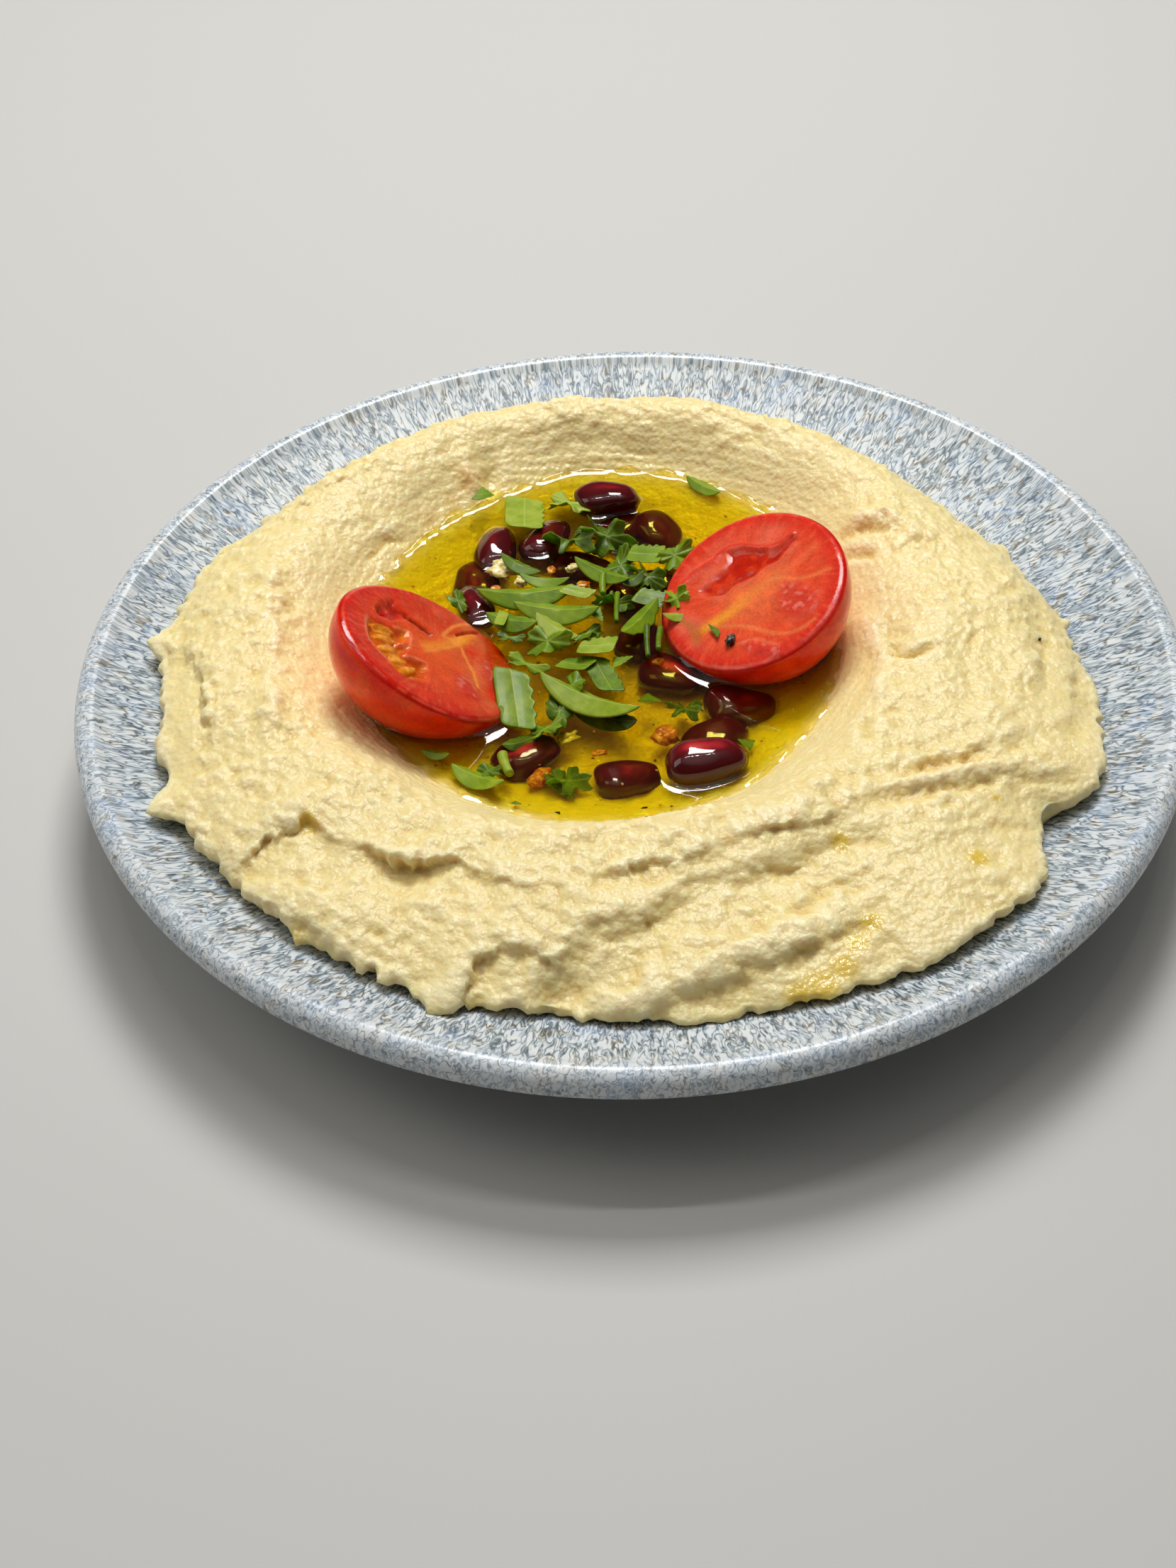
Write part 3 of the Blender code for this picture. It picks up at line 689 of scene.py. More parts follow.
# How far each point of the fine rings stands above or below the mean of the
# 11 rings and 9 columns of points about it; the paste's colour paints shade
# into the hollows and light onto the tops by it
first = len(of_station) - under_count - FINE * (INNER_RINGS + OUTER_RINGS + LIP_RINGS + 1)
heights = spots[first:-under_count, 2].reshape(-1, FINE)
mean = np.pad(heights, ((5, 5), (0, 0)), mode="edge")
mean = sum(mean[k:k + len(heights)] for k in range(11)) / 11
mean = sum(np.roll(mean, k, axis=1) for k in range(-4, 5)) / 9
stand = np.zeros(len(spots))
stand[first:-under_count] = np.clip((heights - mean) / (0.55 * MM), -1, 1).ravel()
store(hummus_mesh, "stand", stand)
# Oil soaks the slope a few millimetres above its level
above = spots[:, 2] - OIL_LEVEL + 0.8 * MM * unevenness(spots, 5 * MM)
store(hummus_mesh, "wet", np.clip(1 - above / (2.4 * MM), 0, 1) * (of_station < 1.9))
# Orange-tan marks round the listed places, most of them in folds and grooves
store(hummus_mesh, "fold_tint", 0.55 * np.exp(-gap_to(FOLD_TINTS, spots) ** 2))

# ---------------------------------------------------------------------------
# Cherry tomato halves: two fresh tomatoes cut lengthwise, each with a thin
# glossy skin round juicy flesh, pale veins from the core, and pockets of wet
# gel with seeds in them where the cut opened one.
# ---------------------------------------------------------------------------
# Each half: CAD node, middle and normal of its cut face, its long axis, and
# half its length, width and depth in mm
TOMATOES = {
    "right": ("tomato_half_right", (20.8, 10.2, 24.9), (-0.45, -0.09, 0.89), (0.41, -0.90, 0.12),
              (18.4, 16.3, 14.4)),
    "left": ("tomato_half_left", (-32.3, -3.4, 25.2), (0.62, 0.09, 0.78), (0.69, 0.41, -0.59),
             (18.2, 15.1, 13.4)),
}
TOMATO_STEPS = 384
CUT_ROUND = 0.55 * MM             # rounding of the brink between the cut and the skin
FACE_RINGS = 84
SKIN_RINGS = 40
# Places on the cut faces, in mm along the long axis and across it. Pockets of
# gel: outline, depth, the gel's own colour, and a lighter colour painted on
# the tops of its folds as painted light
GEL = {
    "right": ((((-8, -6), (-8, -4), (-8.2, -0.5), (-10.8, 1.8), (-8.9, 4.3), (-4.8, 6.8),
                (-3.6, 8.4), (-3.5, 11.4), (-2.4, 11.3), (-2, 8.4), (-1.2, 6.5), (-2, 4.4),
                (-2.1, 1.4), (-3.4, -1.1), (-3.3, -3.5), (-4.1, -5), (-6.3, -6)), 0.5,
               "#bc1c0a", "#d6421c"),),
    "left": ((((-11.3, 5), (-10.2, 4.7), (-5.9, 4.1), (-3.3, 4.2), (-3.1, 2.9), (-6.2, 0.8),
               (-4.6, 0.4), (-6, -1.5), (-4.3, -2.2), (-2.1, -2.9), (-2.3, -4.4), (-4.5, -6.7),
               (-7.5, -7.6), (-9.2, -7.5), (-10.3, -6.2), (-11.1, -4.8), (-12.3, -2.4),
               (-13.1, 0), (-12.3, 2.8)), 1.0, "#cc5a10", "#e28a22"),
             (((-7.8, 7.7), (-5.9, 9.6), (-2.3, 11.6), (-3.1, 10), (-1.4, 8.1), (-5.9, 6.3),
               (-7.8, 6.7)), 0.8, "#b0140c", "#d03a20")),
}
# Pockets that lie under a thin layer of flesh, which bulges and shows redder
VEILED = {
    "right": (((4.6, 1.9), (3.6, 4.8), (6.5, 6.8), (11.2, 7.4), (13.9, 4.7), (12.8, 1.5), (8.8, 0.2)),
              ((8.3, -8.1), (10.3, -5.4), (14.8, -3.6), (17.2, -4.6), (13.8, -7.5))),
    "left": (((2.6, -10.4), (1.6, -5.6), (4.4, -2.6), (6.2, -5.8), (6.6, -9.6)),
             ((10, -8.2), (9.2, -3), (12.2, 1.4), (14.4, -1.6), (13.2, -5.6))),
}
# Tomato seeds in the open pockets: from and to
GEL_SEEDS = {
    "right": (),
    "left": (((-11.2, 3.6), (-6.4, 3.3)), ((-11.6, 1.4), (-6.8, 1.4)), ((-11.6, -1.1), (-7.4, -0.7)),
             ((-10.2, -3.6), (-6.3, -2.9)), ((-9.3, -6.2), (-5.2, -4.2))),
}
# Lines on the cut: colour, strength, half width in mm, rise in mm, and its run
LINES = {
    "right": (
        ("#e8962c", 1.0, 1.2, 0.0, ((0.3, -10), (0.9, -5.1), (0.8, -2.4))),
        ("#e9803c", 0.8, 1.1, 0.0, ((0.8, -4), (0.7, -1.3), (0.9, 1.6), (1.2, 4.6))),
        ("#e66c40", 0.6, 1.0, 0.0, ((1.0, 3), (1.8, 8.6), (1.8, 12.5))),
        ("#ea8448", 0.55, 0.45, 0.0, ((0.9, 3.2), (2.3, 5), (5, 6.5), (7.3, 9), (8.5, 11.4))),
        ("#ea8448", 0.55, 0.45, 0.0, ((1.4, -8.4), (5.3, -5.5), (8.6, -3.9), (12.3, -2.4), (15, 0.1),
                                     (15.6, 3.6))),
        ("#e67a48", 0.45, 0.35, 0.0, ((8.3, -8.1), (10.3, -5.4), (14.8, -3.6))),
        ("#e03a24", 0.7, 0.75, 0.35, ((-11.9, -8.4), (-12.5, -4.3), (-11.8, -1), (-12.1, 1.3),
                                      (-10.8, 3.8), (-6.4, 6.5), (-4.5, 8.6), (-4.1, 11.4))),
        ("#e8603c", 0.5, 0.5, 0.30, ((-2.2, 10.4), (-1.0, 6.5), (-1.9, 4.2), (-2.0, 1.2), (-3.2, -1.2),
                                     (-3.2, -3.4), (-4.2, -5.4))),
        ("#8f6a1c", 0.5, 0.8, 0.0, ((-6.6, -12.4), (-2.2, -11.6), (1.6, -12.6))),
    ),
    "left": (
        ("#ef8a26", 0.9, 1.0, 0.0, ((-0.5, 1.4), (3.8, 2.6), (8.3, 4.5), (12, 6.5))),
        ("#f49a30", 1.0, 0.9, 0.0, ((7.2, 4.1), (8.3, 4.5), (9.6, 5.0))),
        ("#f0913c", 0.9, 0.35, 0.0, ((8.3, 4.5), (5.2, 4.9), (8.5, 7.6), (12.5, 9.2))),
        ("#f0913c", 0.9, 0.35, 0.0, ((8.2, 3.4), (7.9, 0), (7.8, -2.7), (7, -6.4))),
        ("#f0913c", 0.7, 0.35, 0.0, ((-1.1, 0.1), (3.4, 1.7), (7.8, 3.6))),
        ("#e88c50", 0.5, 0.30, 0.08, ((-5.9, 4.3), (-3.0, 4.3), (-2.9, 3.0))),
        ("#ea9a6c", 0.5, 0.28, 0.12, ((-6.2, 0.8), (-4.4, 0.5), (-3.0, 2.6))),
        ("#ea9a6c", 0.5, 0.28, 0.12, ((-6.2, -1.8), (-4.3, -2.2), (-2.1, -2.9))),
        ("#ea9470", 0.5, 0.45, 0.10, ((-11.4, 5.1), (-12.6, 2.8), (-13.4, 0), (-12.5, -2.6),
                                      (-11.2, -5.0))),
        ("#7f1606", 0.8, 0.45, -0.6, ((-1.6, 7.6), (1.3, 5.6), (2.2, 4.7))),
        ("#9c1409", 0.9, 0.30, -0.4, ((8.7, 5.9), (11.4, 6.9), (14.2, 7.5))),
        ("#b81a0c", 0.6, 0.8, 0.0, ((-6.5, -12.8), (0, -14.2), (6, -13.2), (11, -10.4))),
    ),
}
TOMATO_LOOK = {                   # sRGB of the outer wall, the middle and the core's side
    "right": ("#d42c1c", "#dc4828", "#e66c3c"),
    "left": ("#cc1e0c", "#d43412", "#e2561c"),
}


def ease(value, low, high):
    """Smooth step from 0 at low to 1 at high."""
    share = np.clip((value - low) / (high - low), 0, 1)
    return share * share * (3 - 2 * share)


def inset(spots, outline):
    """How far each spot lies inside a closed outline in mm; negative outside it."""
    corners = np.array(outline, float) * MM
    gap = np.full(len(spots), 1e9)
    within = np.zeros(len(spots), bool)
    for here, there in zip(corners, np.roll(corners, -1, axis=0)):
        step = there - here
        off = spots - here
        share = np.clip(off @ step / (step @ step), 0, 1)
        gap = np.minimum(gap, np.linalg.norm(off - share[:, None] * step, axis=1))
        spans = (here[1] > spots[:, 1]) != (there[1] > spots[:, 1])
        crossing = here[0] + (spots[:, 1] - here[1]) * step[0] / (step[1] or 1e-12)
        within ^= spans & (spots[:, 0] < crossing)
    return np.where(within, gap, -gap)


def tint(colours, paint, amount):
    """Blend an sRGB hex colour into linear colours by an amount at each point."""
    colours += (np.array(linear(paint)[:3]) - colours) * np.clip(amount, 0, 1)[:, None]


def tomato_points(halves):
    """Points of a half in its own frame: rings over the cut, round its brink, down the skin."""
    long_half, wide_half, depth = (half * MM for half in halves)
    rings = [np.zeros((1, 3))]
    inner = 1 - CUT_ROUND / wide_half
    for k in range(1, FACE_RINGS + 1):
        share = inner * k / FACE_RINGS
        count = TOMATO_STEPS // (8 if share < 0.12 else 4 if share < 0.3 else 2 if share < 0.55 else 1)
        ring = circle(share, 0.0, count)
        rings.append(ring * (long_half, wide_half, 1))
    for bend in np.radians((25, 50, 75)):
        share = inner + (1 - inner) * math.sin(bend)
        rings.append(circle(share, -CUT_ROUND * (1 - math.cos(bend)), TOMATO_STEPS)
                     * (long_half, wide_half, 1))
    for bend in np.linspace(math.asin(CUT_ROUND * 1.2 / depth), 0.5 * math.pi, SKIN_RINGS + 1)[:-1]:
        count = TOMATO_STEPS // (1 if bend < 1.0 else 2 if bend < 1.35 else 4)
        rings.append(circle(math.cos(bend), -math.sin(bend), count)
                     * (long_half, wide_half, depth))
    rings.append(np.array([(0, 0, -depth)]))
    return rings


# Tomato: wet juicy flesh that light enters, clear gel, and a taut waxy skin
flesh, tree = new_material("ripe_tomato")
spot = add_node(tree, "ShaderNodeTexCoord").outputs["Object"]
painted = add_node(tree, "ShaderNodeAttribute", attribute_name="flesh")
smooth = add_node(tree, "ShaderNodeAttribute", attribute_name="smooth")
cells = add_node(tree, "ShaderNodeTexNoise",
                 {"Vector": spot, "Scale": 1 / (0.45 * MM), "Detail": 2.0, "Roughness": 0.6})
mottled = add_node(tree, "ShaderNodeTexNoise", {"Vector": spot, "Scale": 1 / (2.2 * MM), "Detail": 3.0})
lighter = add_node(tree, "ShaderNodeMapRange",
                   {"Value": cells, "From Min": 0.3, "From Max": 0.7, "To Min": -0.10, "To Max": 0.16})
uneven = add_node(tree, "ShaderNodeMapRange",
                  {"Value": mottled, "From Min": 0.3, "From Max": 0.7, "To Min": 0.88, "To Max": 1.10})
shade = add_node(tree, "ShaderNodeMath", {"Value": uneven, "Value_001": lighter}, operation="ADD")
varied = add_node(tree, "ShaderNodeVectorMath",
                  {"Vector": painted.outputs["Color"], "Scale": shade}, operation="SCALE")
shine = add_node(tree, "ShaderNodeMapRange",
                 {"Value": smooth.outputs["Fac"], "To Min": 0.30, "To Max": 0.07})
even = add_node(tree, "ShaderNodeMapRange",
                {"Value": smooth.outputs["Fac"], "To Min": 0.45, "To Max": 0.04})
pulp = add_node(tree, "ShaderNodeBump", {"Height": cells, "Strength": even, "Distance": 0.18 * MM})
shader = add_node(tree, "ShaderNodeBsdfPrincipled",
                  {"Base Color": varied, "Roughness": shine, "IOR": 1.40, "Normal": pulp,
                   "Subsurface Weight": 0.35, "Subsurface Radius": (1.0, 0.2, 0.08),
                   "Subsurface Scale": 2.4 * MM, "Specular IOR Level": 0.42})
add_node(tree, "ShaderNodeOutputMaterial", {"Surface": shader})

tomato_meshes = []
for side, (node, middle, normal, length_axis, halves) in TOMATOES.items():
    rings = tomato_points(halves)
    local = np.concatenate(rings)
    on_cut = np.arange(len(local)) < sum(len(ring) for ring in rings[:FACE_RINGS + 1])
    face = local[:, :2]
    rim = np.hypot(face[:, 0] / halves[0], face[:, 1] / halves[1]) / MM     # 1 at the brink
    seedling = 0.02 if side == "left" else 0.05     # so that no two tomatoes are alike
    wide_noise = unevenness(local + seedling, 5 * MM)
    small_noise = unevenness(local + seedling, 1.1 * MM)
    turn = np.arctan2(face[:, 1], face[:, 0])
    fibres = unevenness(np.column_stack((np.cos(turn), np.sin(turn), 0.35 * rim)) + seedling, 0.045)

    outer, middle_look, core_look = TOMATO_LOOK[side]
    colours = np.tile(np.array(linear(middle_look)[:3]), (len(local), 1))
    tint(colours, core_look, 0.9 * ease(-rim, -0.75, -0.1) + 0.25 * wide_noise)
    tint(colours, outer, ease(rim, 0.72, 0.95) * 0.9)
    tint(colours, "#e8764a", 0.22 * ease(fibres, 0.05, 0.6) * ease(rim, 0.1, 0.4))
    tint(colours, "#bc2412", 0.20 * ease(-fibres, 0.05, 0.6) * ease(rim, 0.1, 0.4))
    if side == "right":
        tint(colours, "#e4806c", 0.30 * ease(wide_noise, -0.25, 0.5) * ease(rim, 0.35, 0.6)
             * ease(-rim, -0.93, -0.84) * ease(-local[:, 0], -7 * MM, 2 * MM))
    else:
        tint(colours, "#d2804a", 0.4 * ease(local[:, 0], 0, 11 * MM) * ease(wide_noise, -0.5, 0.4))
    rise = 0.35 * MM * ease(rim, 0.3, 0.86) * on_cut + 0.16 * MM * wide_noise + 0.05 * MM * small_noise
    smooth = 0.15 + 0.35 * ease(rim, 0.86, 0.97)
    for outline in VEILED[side]:
        bulge = ease(inset(face, outline) + 0.6 * MM * wide_noise, -0.8 * MM, 1.5 * MM)
        tint(colours, "#c22a26", 0.55 * bulge)
        tint(colours, "#e88a78", 0.5 * bulge * ease(small_noise, 0.12, 0.4))
        rise += 0.28 * MM * bulge
    for outline, depth, low_look, painted_fold_light in GEL[side]:
        edge = inset(face, outline) + 0.35 * MM * small_noise + 0.9 * MM * wide_noise
        hollow = ease(edge, -0.8 * MM, 1.3 * MM)
        folds = unevenness(local + seedling, 1.7 * MM)
        tint(colours, low_look, 0.95 * hollow)
        # Painted light: the raised tops of the gel's folds are coloured lighter
        tint(colours, painted_fold_light, 0.7 * hollow * ease(folds, 0.0, 0.4))
        rise -= depth * MM * hollow * (1 - 0.35 * ease(edge, 0.9 * MM, 2.2 * MM))
        rise += 0.22 * MM * hollow * folds
        smooth = np.maximum(smooth, hollow)
    for start, end in GEL_SEEDS[side]:
        gap, along, _ = beside(face, np.array((start, end)) * MM)
        gap = np.abs(gap) / (0.95 * MM * np.sqrt(1.05 - (2 * along - 1) ** 2))
        swell = np.sqrt(np.clip(1 - gap ** 2, 0, 1))
        tint(colours, "#dc8216", 0.85 * ease(swell, 0.0, 0.8))
        # Painted highlight: paler gold on the top of each seed
        tint(colours, "#f0b03c", 0.6 * ease(swell, 0.7, 1.0) * ease(small_noise, -0.2, 0.35))
        rise += 0.32 * MM * swell
    for colour_name, strength, width, lift, run in LINES[side]:
        gap = np.abs(beside(face, smooth_path(run, 8 * len(run)))[0]) + 0.12 * MM * small_noise
        line = np.exp(-np.clip(gap / (width * MM), 0, 6) ** 2)
        tint(colours, colour_name, strength * line)
        rise += lift * MM * line
        if lift > 0.2:
            smooth = np.maximum(smooth, line)

    # The skin: deep red and taut, painted lighter and more orange further down as
    # painted light on its lower side, with a painted highlight in pale patches
    # along the rounded brink
    skin_part = np.clip(-local[:, 2] / (0.9 * MM), 0, 1)
    # Painted highlight: a thin pale line in patches where the cut rounds into the skin
    tint(colours, "#ec8c68", 0.30 * np.exp(-((rim - 0.962) / 0.012) ** 2)
         * ease(unevenness(local + seedling, 2.2 * MM), -0.15, 0.3) * (skin_part < 0.5))
    tint(colours, "#b80c06", 0.9 * ease(rim, 0.965, 0.985) * (skin_part < 0.3))
    tint(colours, "#e81e04", ease(skin_part, 0.2, 0.7))
    # Painted light: the skin is made lighter and more orange towards its lower side
    tint(colours, "#ff4c14", 0.8 * ease(-local[:, 2], 1.5 * MM, 7 * MM))
    tint(colours, "#ff6a2c", skin_part * 0.35 * ease(wide_noise, -0.1, 0.5))
    smooth = np.where(on_cut, smooth, 1.0)
    rise *= np.clip((0.985 - rim) / 0.05, 0, 1) * on_cut
    local[:, 2] += rise

    up = np.array(normal) / np.linalg.norm(normal)
    across = np.cross(up, np.array(length_axis))
    across /= np.linalg.norm(across)
    placed = local @ np.array((np.cross(across, up), across, up)) + np.array(middle) * MM
    sizes = np.cumsum([len(ring) for ring in rings])[:-1]
    mesh = ring_mesh(node, np.split(placed, sizes))
    layer = mesh.attributes.new("flesh", "FLOAT_COLOR", "POINT")
    layer.data.foreach_set("color", np.column_stack((colours, np.ones(len(colours)))).ravel())
    store(mesh, "smooth", smooth)
    add_piece(f"tomato_half_cut_{side}", mesh, flesh, [node])
    tomato_meshes.append(mesh)

# ---------------------------------------------------------------------------
# Pomegranate seeds: juicy arils, rounded blocks with blunt facets, so dark a
# ruby that they look almost black, and brighter red where the inner seed lies
# near the skin, partly the seed showing through and partly painted glow of
# light through the juice. Five stand out of the oil and the rest are sunk.
# ---------------------------------------------------------------------------
# Middle in mm, heading and pitch of the long axis in degrees, length in mm, and
# how clearly the inner seed and its painted glow show
SEEDS = (((-2.4, 46.2, 17.4), -6, 4, 11.8, 0.4), ((-22.3, 34.5, 15.8), 78, 5, 11.2, 0.35),
         ((-13.5, 36.4, 15.4), 58, 4, 11.6, 0.35), ((-25.8, 18.4, 15.6), 110, 8, 9.8, 0.4),
         ((11.4, -24.0, 17.9), 8, 3, 13.2, 1.0))
SUNK_SEEDS = (((0.2, 41.0, 13.2), 40, 6, 10.4, 0.3), ((6.3, 39.8, 13.4), -62, -5, 10.6, 0.3),
              ((-25.7, 27.4, 13.0), 96, 4, 10.8, 0.5), ((7.0, 0.8, 13.1), -28, 7, 11.6, 0.9),
              ((17.8, -7.8, 13.6), -4, -4, 11.8, 0.5), ((13.3, -15.3, 13.4), 38, 5, 11.4, 0.3),
              ((-1.3, -24.4, 13.9), 12, -4, 10.8, 0.6), ((-17.2, -18.4, 13.7), 30, 6, 11.4, 0.9),
              ((2.2, 10.6, 12.6), 75, 3, 10.4, 0.4), ((0.8, 20.6, 12.5), -50, -6, 10.2, 0.4),
              ((6.1, 25.0, 12.7), 15, 5, 10.8, 0.4), ((-7.5, 30.6, 12.6), -15, 4, 10.4, 0.4))
SEED_WIDTH = 0.60                 # width and height as shares of the length
SEED_HEIGHT = 0.52
SUNK_WIDTH = 0.74
SEED_SQUARE = 2.6                 # power that rounds the block; 2 is an egg
SEED_TAPER = 0.16                 # how much narrower the pointed end is


def aril(middle, heading, pitch, length, width, seedling):
    """Rings of points of one aril, and how near the inner seed lies under each."""
    bends = np.linspace(0, math.pi, 27)[1:-1]
    ball = [np.array([(0.0, 0.0, 1.0)])]
    ball += [circle(math.sin(bend), math.cos(bend), 40) for bend in bends]
    ball.append(np.array([(0.0, 0.0, -1.0)]))
    sizes = np.cumsum([len(ring) for ring in ball])[:-1]
    unit = np.concatenate(ball)
    square = unit * (np.abs(unit) ** SEED_SQUARE).sum(axis=1, keepdims=True) ** (-1 / SEED_SQUARE)
    taper = 1 - SEED_TAPER * square[:, :1]
    dents = 1 + 0.12 * unevenness(unit + seedling, 0.75)[:, None]
    shape = square * dents * np.hstack((np.ones_like(taper), taper * width, taper * SEED_HEIGHT))
    inner = (shape[:, 0] / 0.8) ** 2 + ((shape[:, 1] - 0.08) / (0.42 * width)) ** 2
    shown = np.exp(-inner * 1.5) * (unit[:, 2] > 0)
    stand = (Matrix.Rotation(math.radians(heading), 3, "Z")
             @ Matrix.Rotation(math.radians(-pitch), 3, "Y"))
    placed = shape * (length * MM / 2) @ np.array(stand).T + np.array(middle) * MM
    return np.split(placed, sizes), shown


# Aril: clear ruby juice under a taut wet skin, round a paler seed; brighter red
# where the seed lies near the top, partly the seed and partly painted glow
juice, tree = new_material("pomegranate_aril")
spot = add_node(tree, "ShaderNodeTexCoord").outputs["Object"]
inner = add_node(tree, "ShaderNodeAttribute", attribute_name="inner")
cloudy = add_node(tree, "ShaderNodeTexNoise", {"Vector": spot, "Scale": 1 / (3.2 * MM), "Detail": 2.0})
pale = add_node(tree, "ShaderNodeMath", {"Value": inner.outputs["Fac"], "Value_001": 0.95},
                operation="MULTIPLY")
seen = add_node(tree, "ShaderNodeMath", {"Value": pale, "Value_001": cloudy}, operation="MULTIPLY")
# Brighter red where the inner seed lies near the top: partly the seed showing through, partly painted glow
ruby = add_node(tree, "ShaderNodeValToRGB", {"Fac": seen}, stops=(
    (0.0, "#470a0c"), (0.16, "#661216"), (0.32, "#a62228"), (0.55, "#d0443c")))
shader = add_node(tree, "ShaderNodeBsdfPrincipled",
                  {"Base Color": ruby, "Roughness": 0.07, "IOR": 1.42,
                   "Subsurface Weight": 0.35, "Subsurface Radius": (1.0, 0.06, 0.05),
                   "Subsurface Scale": 1.5 * MM, "Coat Weight": 0.3, "Coat Roughness": 0.03})
add_node(tree, "ShaderNodeOutputMaterial", {"Surface": shader})

seed_meshes = []
for number, (middle, heading, pitch, length, clear) in enumerate(SEEDS, 1):
    rings, shown = aril(middle, heading, pitch, length, SEED_WIDTH, number)
    mesh = ring_mesh(f"pomegranate_seed_{number}", rings)
    store(mesh, "inner", clear * shown)
    add_piece(f"pomegranate_aril_{number}", mesh, juice, [f"pomegranate_seed_{number}"])
    seed_meshes.append(mesh)
points, faces, shown_all = [], [], []
for number, (middle, heading, pitch, length, clear) in enumerate(SUNK_SEEDS, 11):
    rings, shown = aril(middle, heading, pitch, length, SUNK_WIDTH, number)
    one = ring_mesh("sunk_aril", rings)
    faces += [[corner + len(points) for corner in face.vertices] for face in one.polygons]
    points += read(one, "co", 3).tolist()
    shown_all.append(clear * shown)
    bpy.data.meshes.remove(one)
mesh = bpy.data.meshes.new("sunk_arils")
mesh.from_pydata(points, [], faces)
mesh.shade_smooth()
store(mesh, "inner", np.concatenate(shown_all))
add_piece("pomegranate_seeds_sunk", mesh, juice, ())

# ---------------------------------------------------------------------------
# Olive oil: poured into the well, deep golden where it is deep and pale where
# it thins out, and drawn up a little by all that stands in it.
# ---------------------------------------------------------------------------
OIL_REACH = 1.12                  # how far it runs on into the hummus, as a share of the pool
OIL_STEPS = 480
OIL_RINGS = 78                    # over the open pool, and closer ones by its brink
BRINK_RINGS = 62
BRINK_FROM = 0.86
FLOOR_RINGS = 40
OIL_OVERLAP = 0.25 * MM           # how deep its underside lies in the hummus
# Rise of the oil at what stands in it, and how fast it dies out sideways
WALL_CREEP = (0.6 * MM, 0.55 * MM)
TOMATO_CREEP = (1.0 * MM, 0.75 * MM)
SEED_CREEP = (0.45 * MM, 0.45 * MM)


def search_tree(mesh):
    """A tree of a mesh's faces for finding the nearest or hit point."""
    return BVHTree.FromPolygons([tuple(point) for point in read(mesh, "co", 3)],
                                [tuple(face.vertices) for face in mesh.polygons])


def outside_gap(tree, point):
    """Distance of a point from a closed mesh, none inside it."""
    nearest, normal, _, gap = tree.find_nearest(point)
    return gap if (point - nearest).dot(normal) > 0 else 0.0


# Oil: clear and golden, soaking up blue at once and green slowly; lamps shine
# through its level to the hummus below
golden, tree = new_material("olive_oil_golden")
shader = add_node(tree, "ShaderNodeBsdfPrincipled",
                  {"Base Color": linear("#fffbe6"), "Roughness": 0.0, "IOR": 1.47,
                   "Transmission Weight": 1.0})
soak = add_node(tree, "ShaderNodeVolumeAbsorption",
                {"Color": (0.987, 0.965, 0.0, 1.0), "Density": 900.0})
lit = add_node(tree, "ShaderNodeLightPath")
clear = add_node(tree, "ShaderNodeBsdfTransparent", {"Color": (0.33, 0.33, 0.33, 1.0)})
surface = add_node(tree, "ShaderNodeMixShader", {"Fac": lit.outputs["Is Shadow Ray"], "Shader": shader,
                                                 "Shader_001": clear})
add_node(tree, "ShaderNodeOutputMaterial", {"Surface": surface, "Volume": soak})

bed = search_tree(hummus_mesh)
tomato_trees = [search_tree(mesh) for mesh in tomato_meshes]
seed_trees = [search_tree(mesh) for mesh in seed_meshes]
above_all = Vector((0, 0, 0.1))
down = Vector((0, 0, -1))
degrees = np.linspace(0, 360, OIL_STEPS, endpoint=False)
pool = around(POOL_EDGE, degrees)
turn = np.radians(degrees)


def oil_ring(share):
    """Places of a ring at a share of the pool, and the height of the hummus under them."""
    every = OIL_STEPS if share == 0 else 4 if share < 0.25 else 2 if share < 0.5 else 1
    x = (WELL[0] + share * pool * np.cos(turn))[::every]
    y = (WELL[1] + share * pool * np.sin(turn))[::every]
    ground = [bed.ray_cast(Vector((px, py, 0)) + above_all, down)[0].z for px, py in zip(x, y)]
    return np.column_stack((x, y, ground))


shares = np.concatenate((np.linspace(0, BRINK_FROM, OIL_RINGS, endpoint=False),
                         np.linspace(BRINK_FROM, OIL_REACH, BRINK_RINGS + 1)))
beds = [oil_ring(share) for share in shares]
# Where the hummus first comes up through the oil's level in each direction
shore = np.full(OIL_STEPS, OIL_REACH)
for share, ring in zip(shares[::-1], beds[::-1]):
    if share > 0.6:
        shore[ring[:, 2] > OIL_LEVEL] = share
top_rings = []
for share, ring in zip(shares, beds):
    every = OIL_STEPS // len(ring)
    to_shore = (shore - share)[::every] * pool[::every]
    rise = WALL_CREEP[0] * np.exp(-np.maximum(to_shore, 0) / WALL_CREEP[1])
    rise *= np.clip(0.8 + 1.2 * unevenness(ring, 3.5 * MM), 0.1, 1.6)
    for i, (px, py, _) in enumerate(ring):
        spot = Vector((px, py, OIL_LEVEL + 0.4 * MM))
        for trees, (height, spread) in ((tomato_trees, TOMATO_CREEP), (seed_trees, SEED_CREEP)):
            for tree in trees:
                rise[i] = max(rise[i], height * math.exp(-outside_gap(tree, spot) / spread))
    top_rings.append(np.column_stack((ring[:, :2], OIL_LEVEL + rise)))
floor_rings = []
for share in np.linspace(0, OIL_REACH, FLOOR_RINGS + 1):
    ring = oil_ring(share)
    if share > 0.5 and share < OIL_REACH:
        ring = ring[::2]
    floor_rings.append(np.column_stack((ring[:, :2], np.minimum(ring[:, 2] - OIL_OVERLAP,
                                                                OIL_LEVEL - 0.15 * MM))))
oil_mesh = ring_mesh("olive_oil", top_rings + floor_rings[::-1])
add_piece("olive_oil_pool", oil_mesh, golden, ["olive_oil"])

# ---------------------------------------------------------------------------
# Parsley: flat-leaf parsley chopped by hand into blades, cut squares, lobed
# and curled bits and stalks. Most of it floats on the oil, some is sunk in it
# and some lies against the tomatoes.
# ---------------------------------------------------------------------------
LEAF_THICK = 0.03                 # thickness as a share of a piece's size
LEAF_STEPS = 72
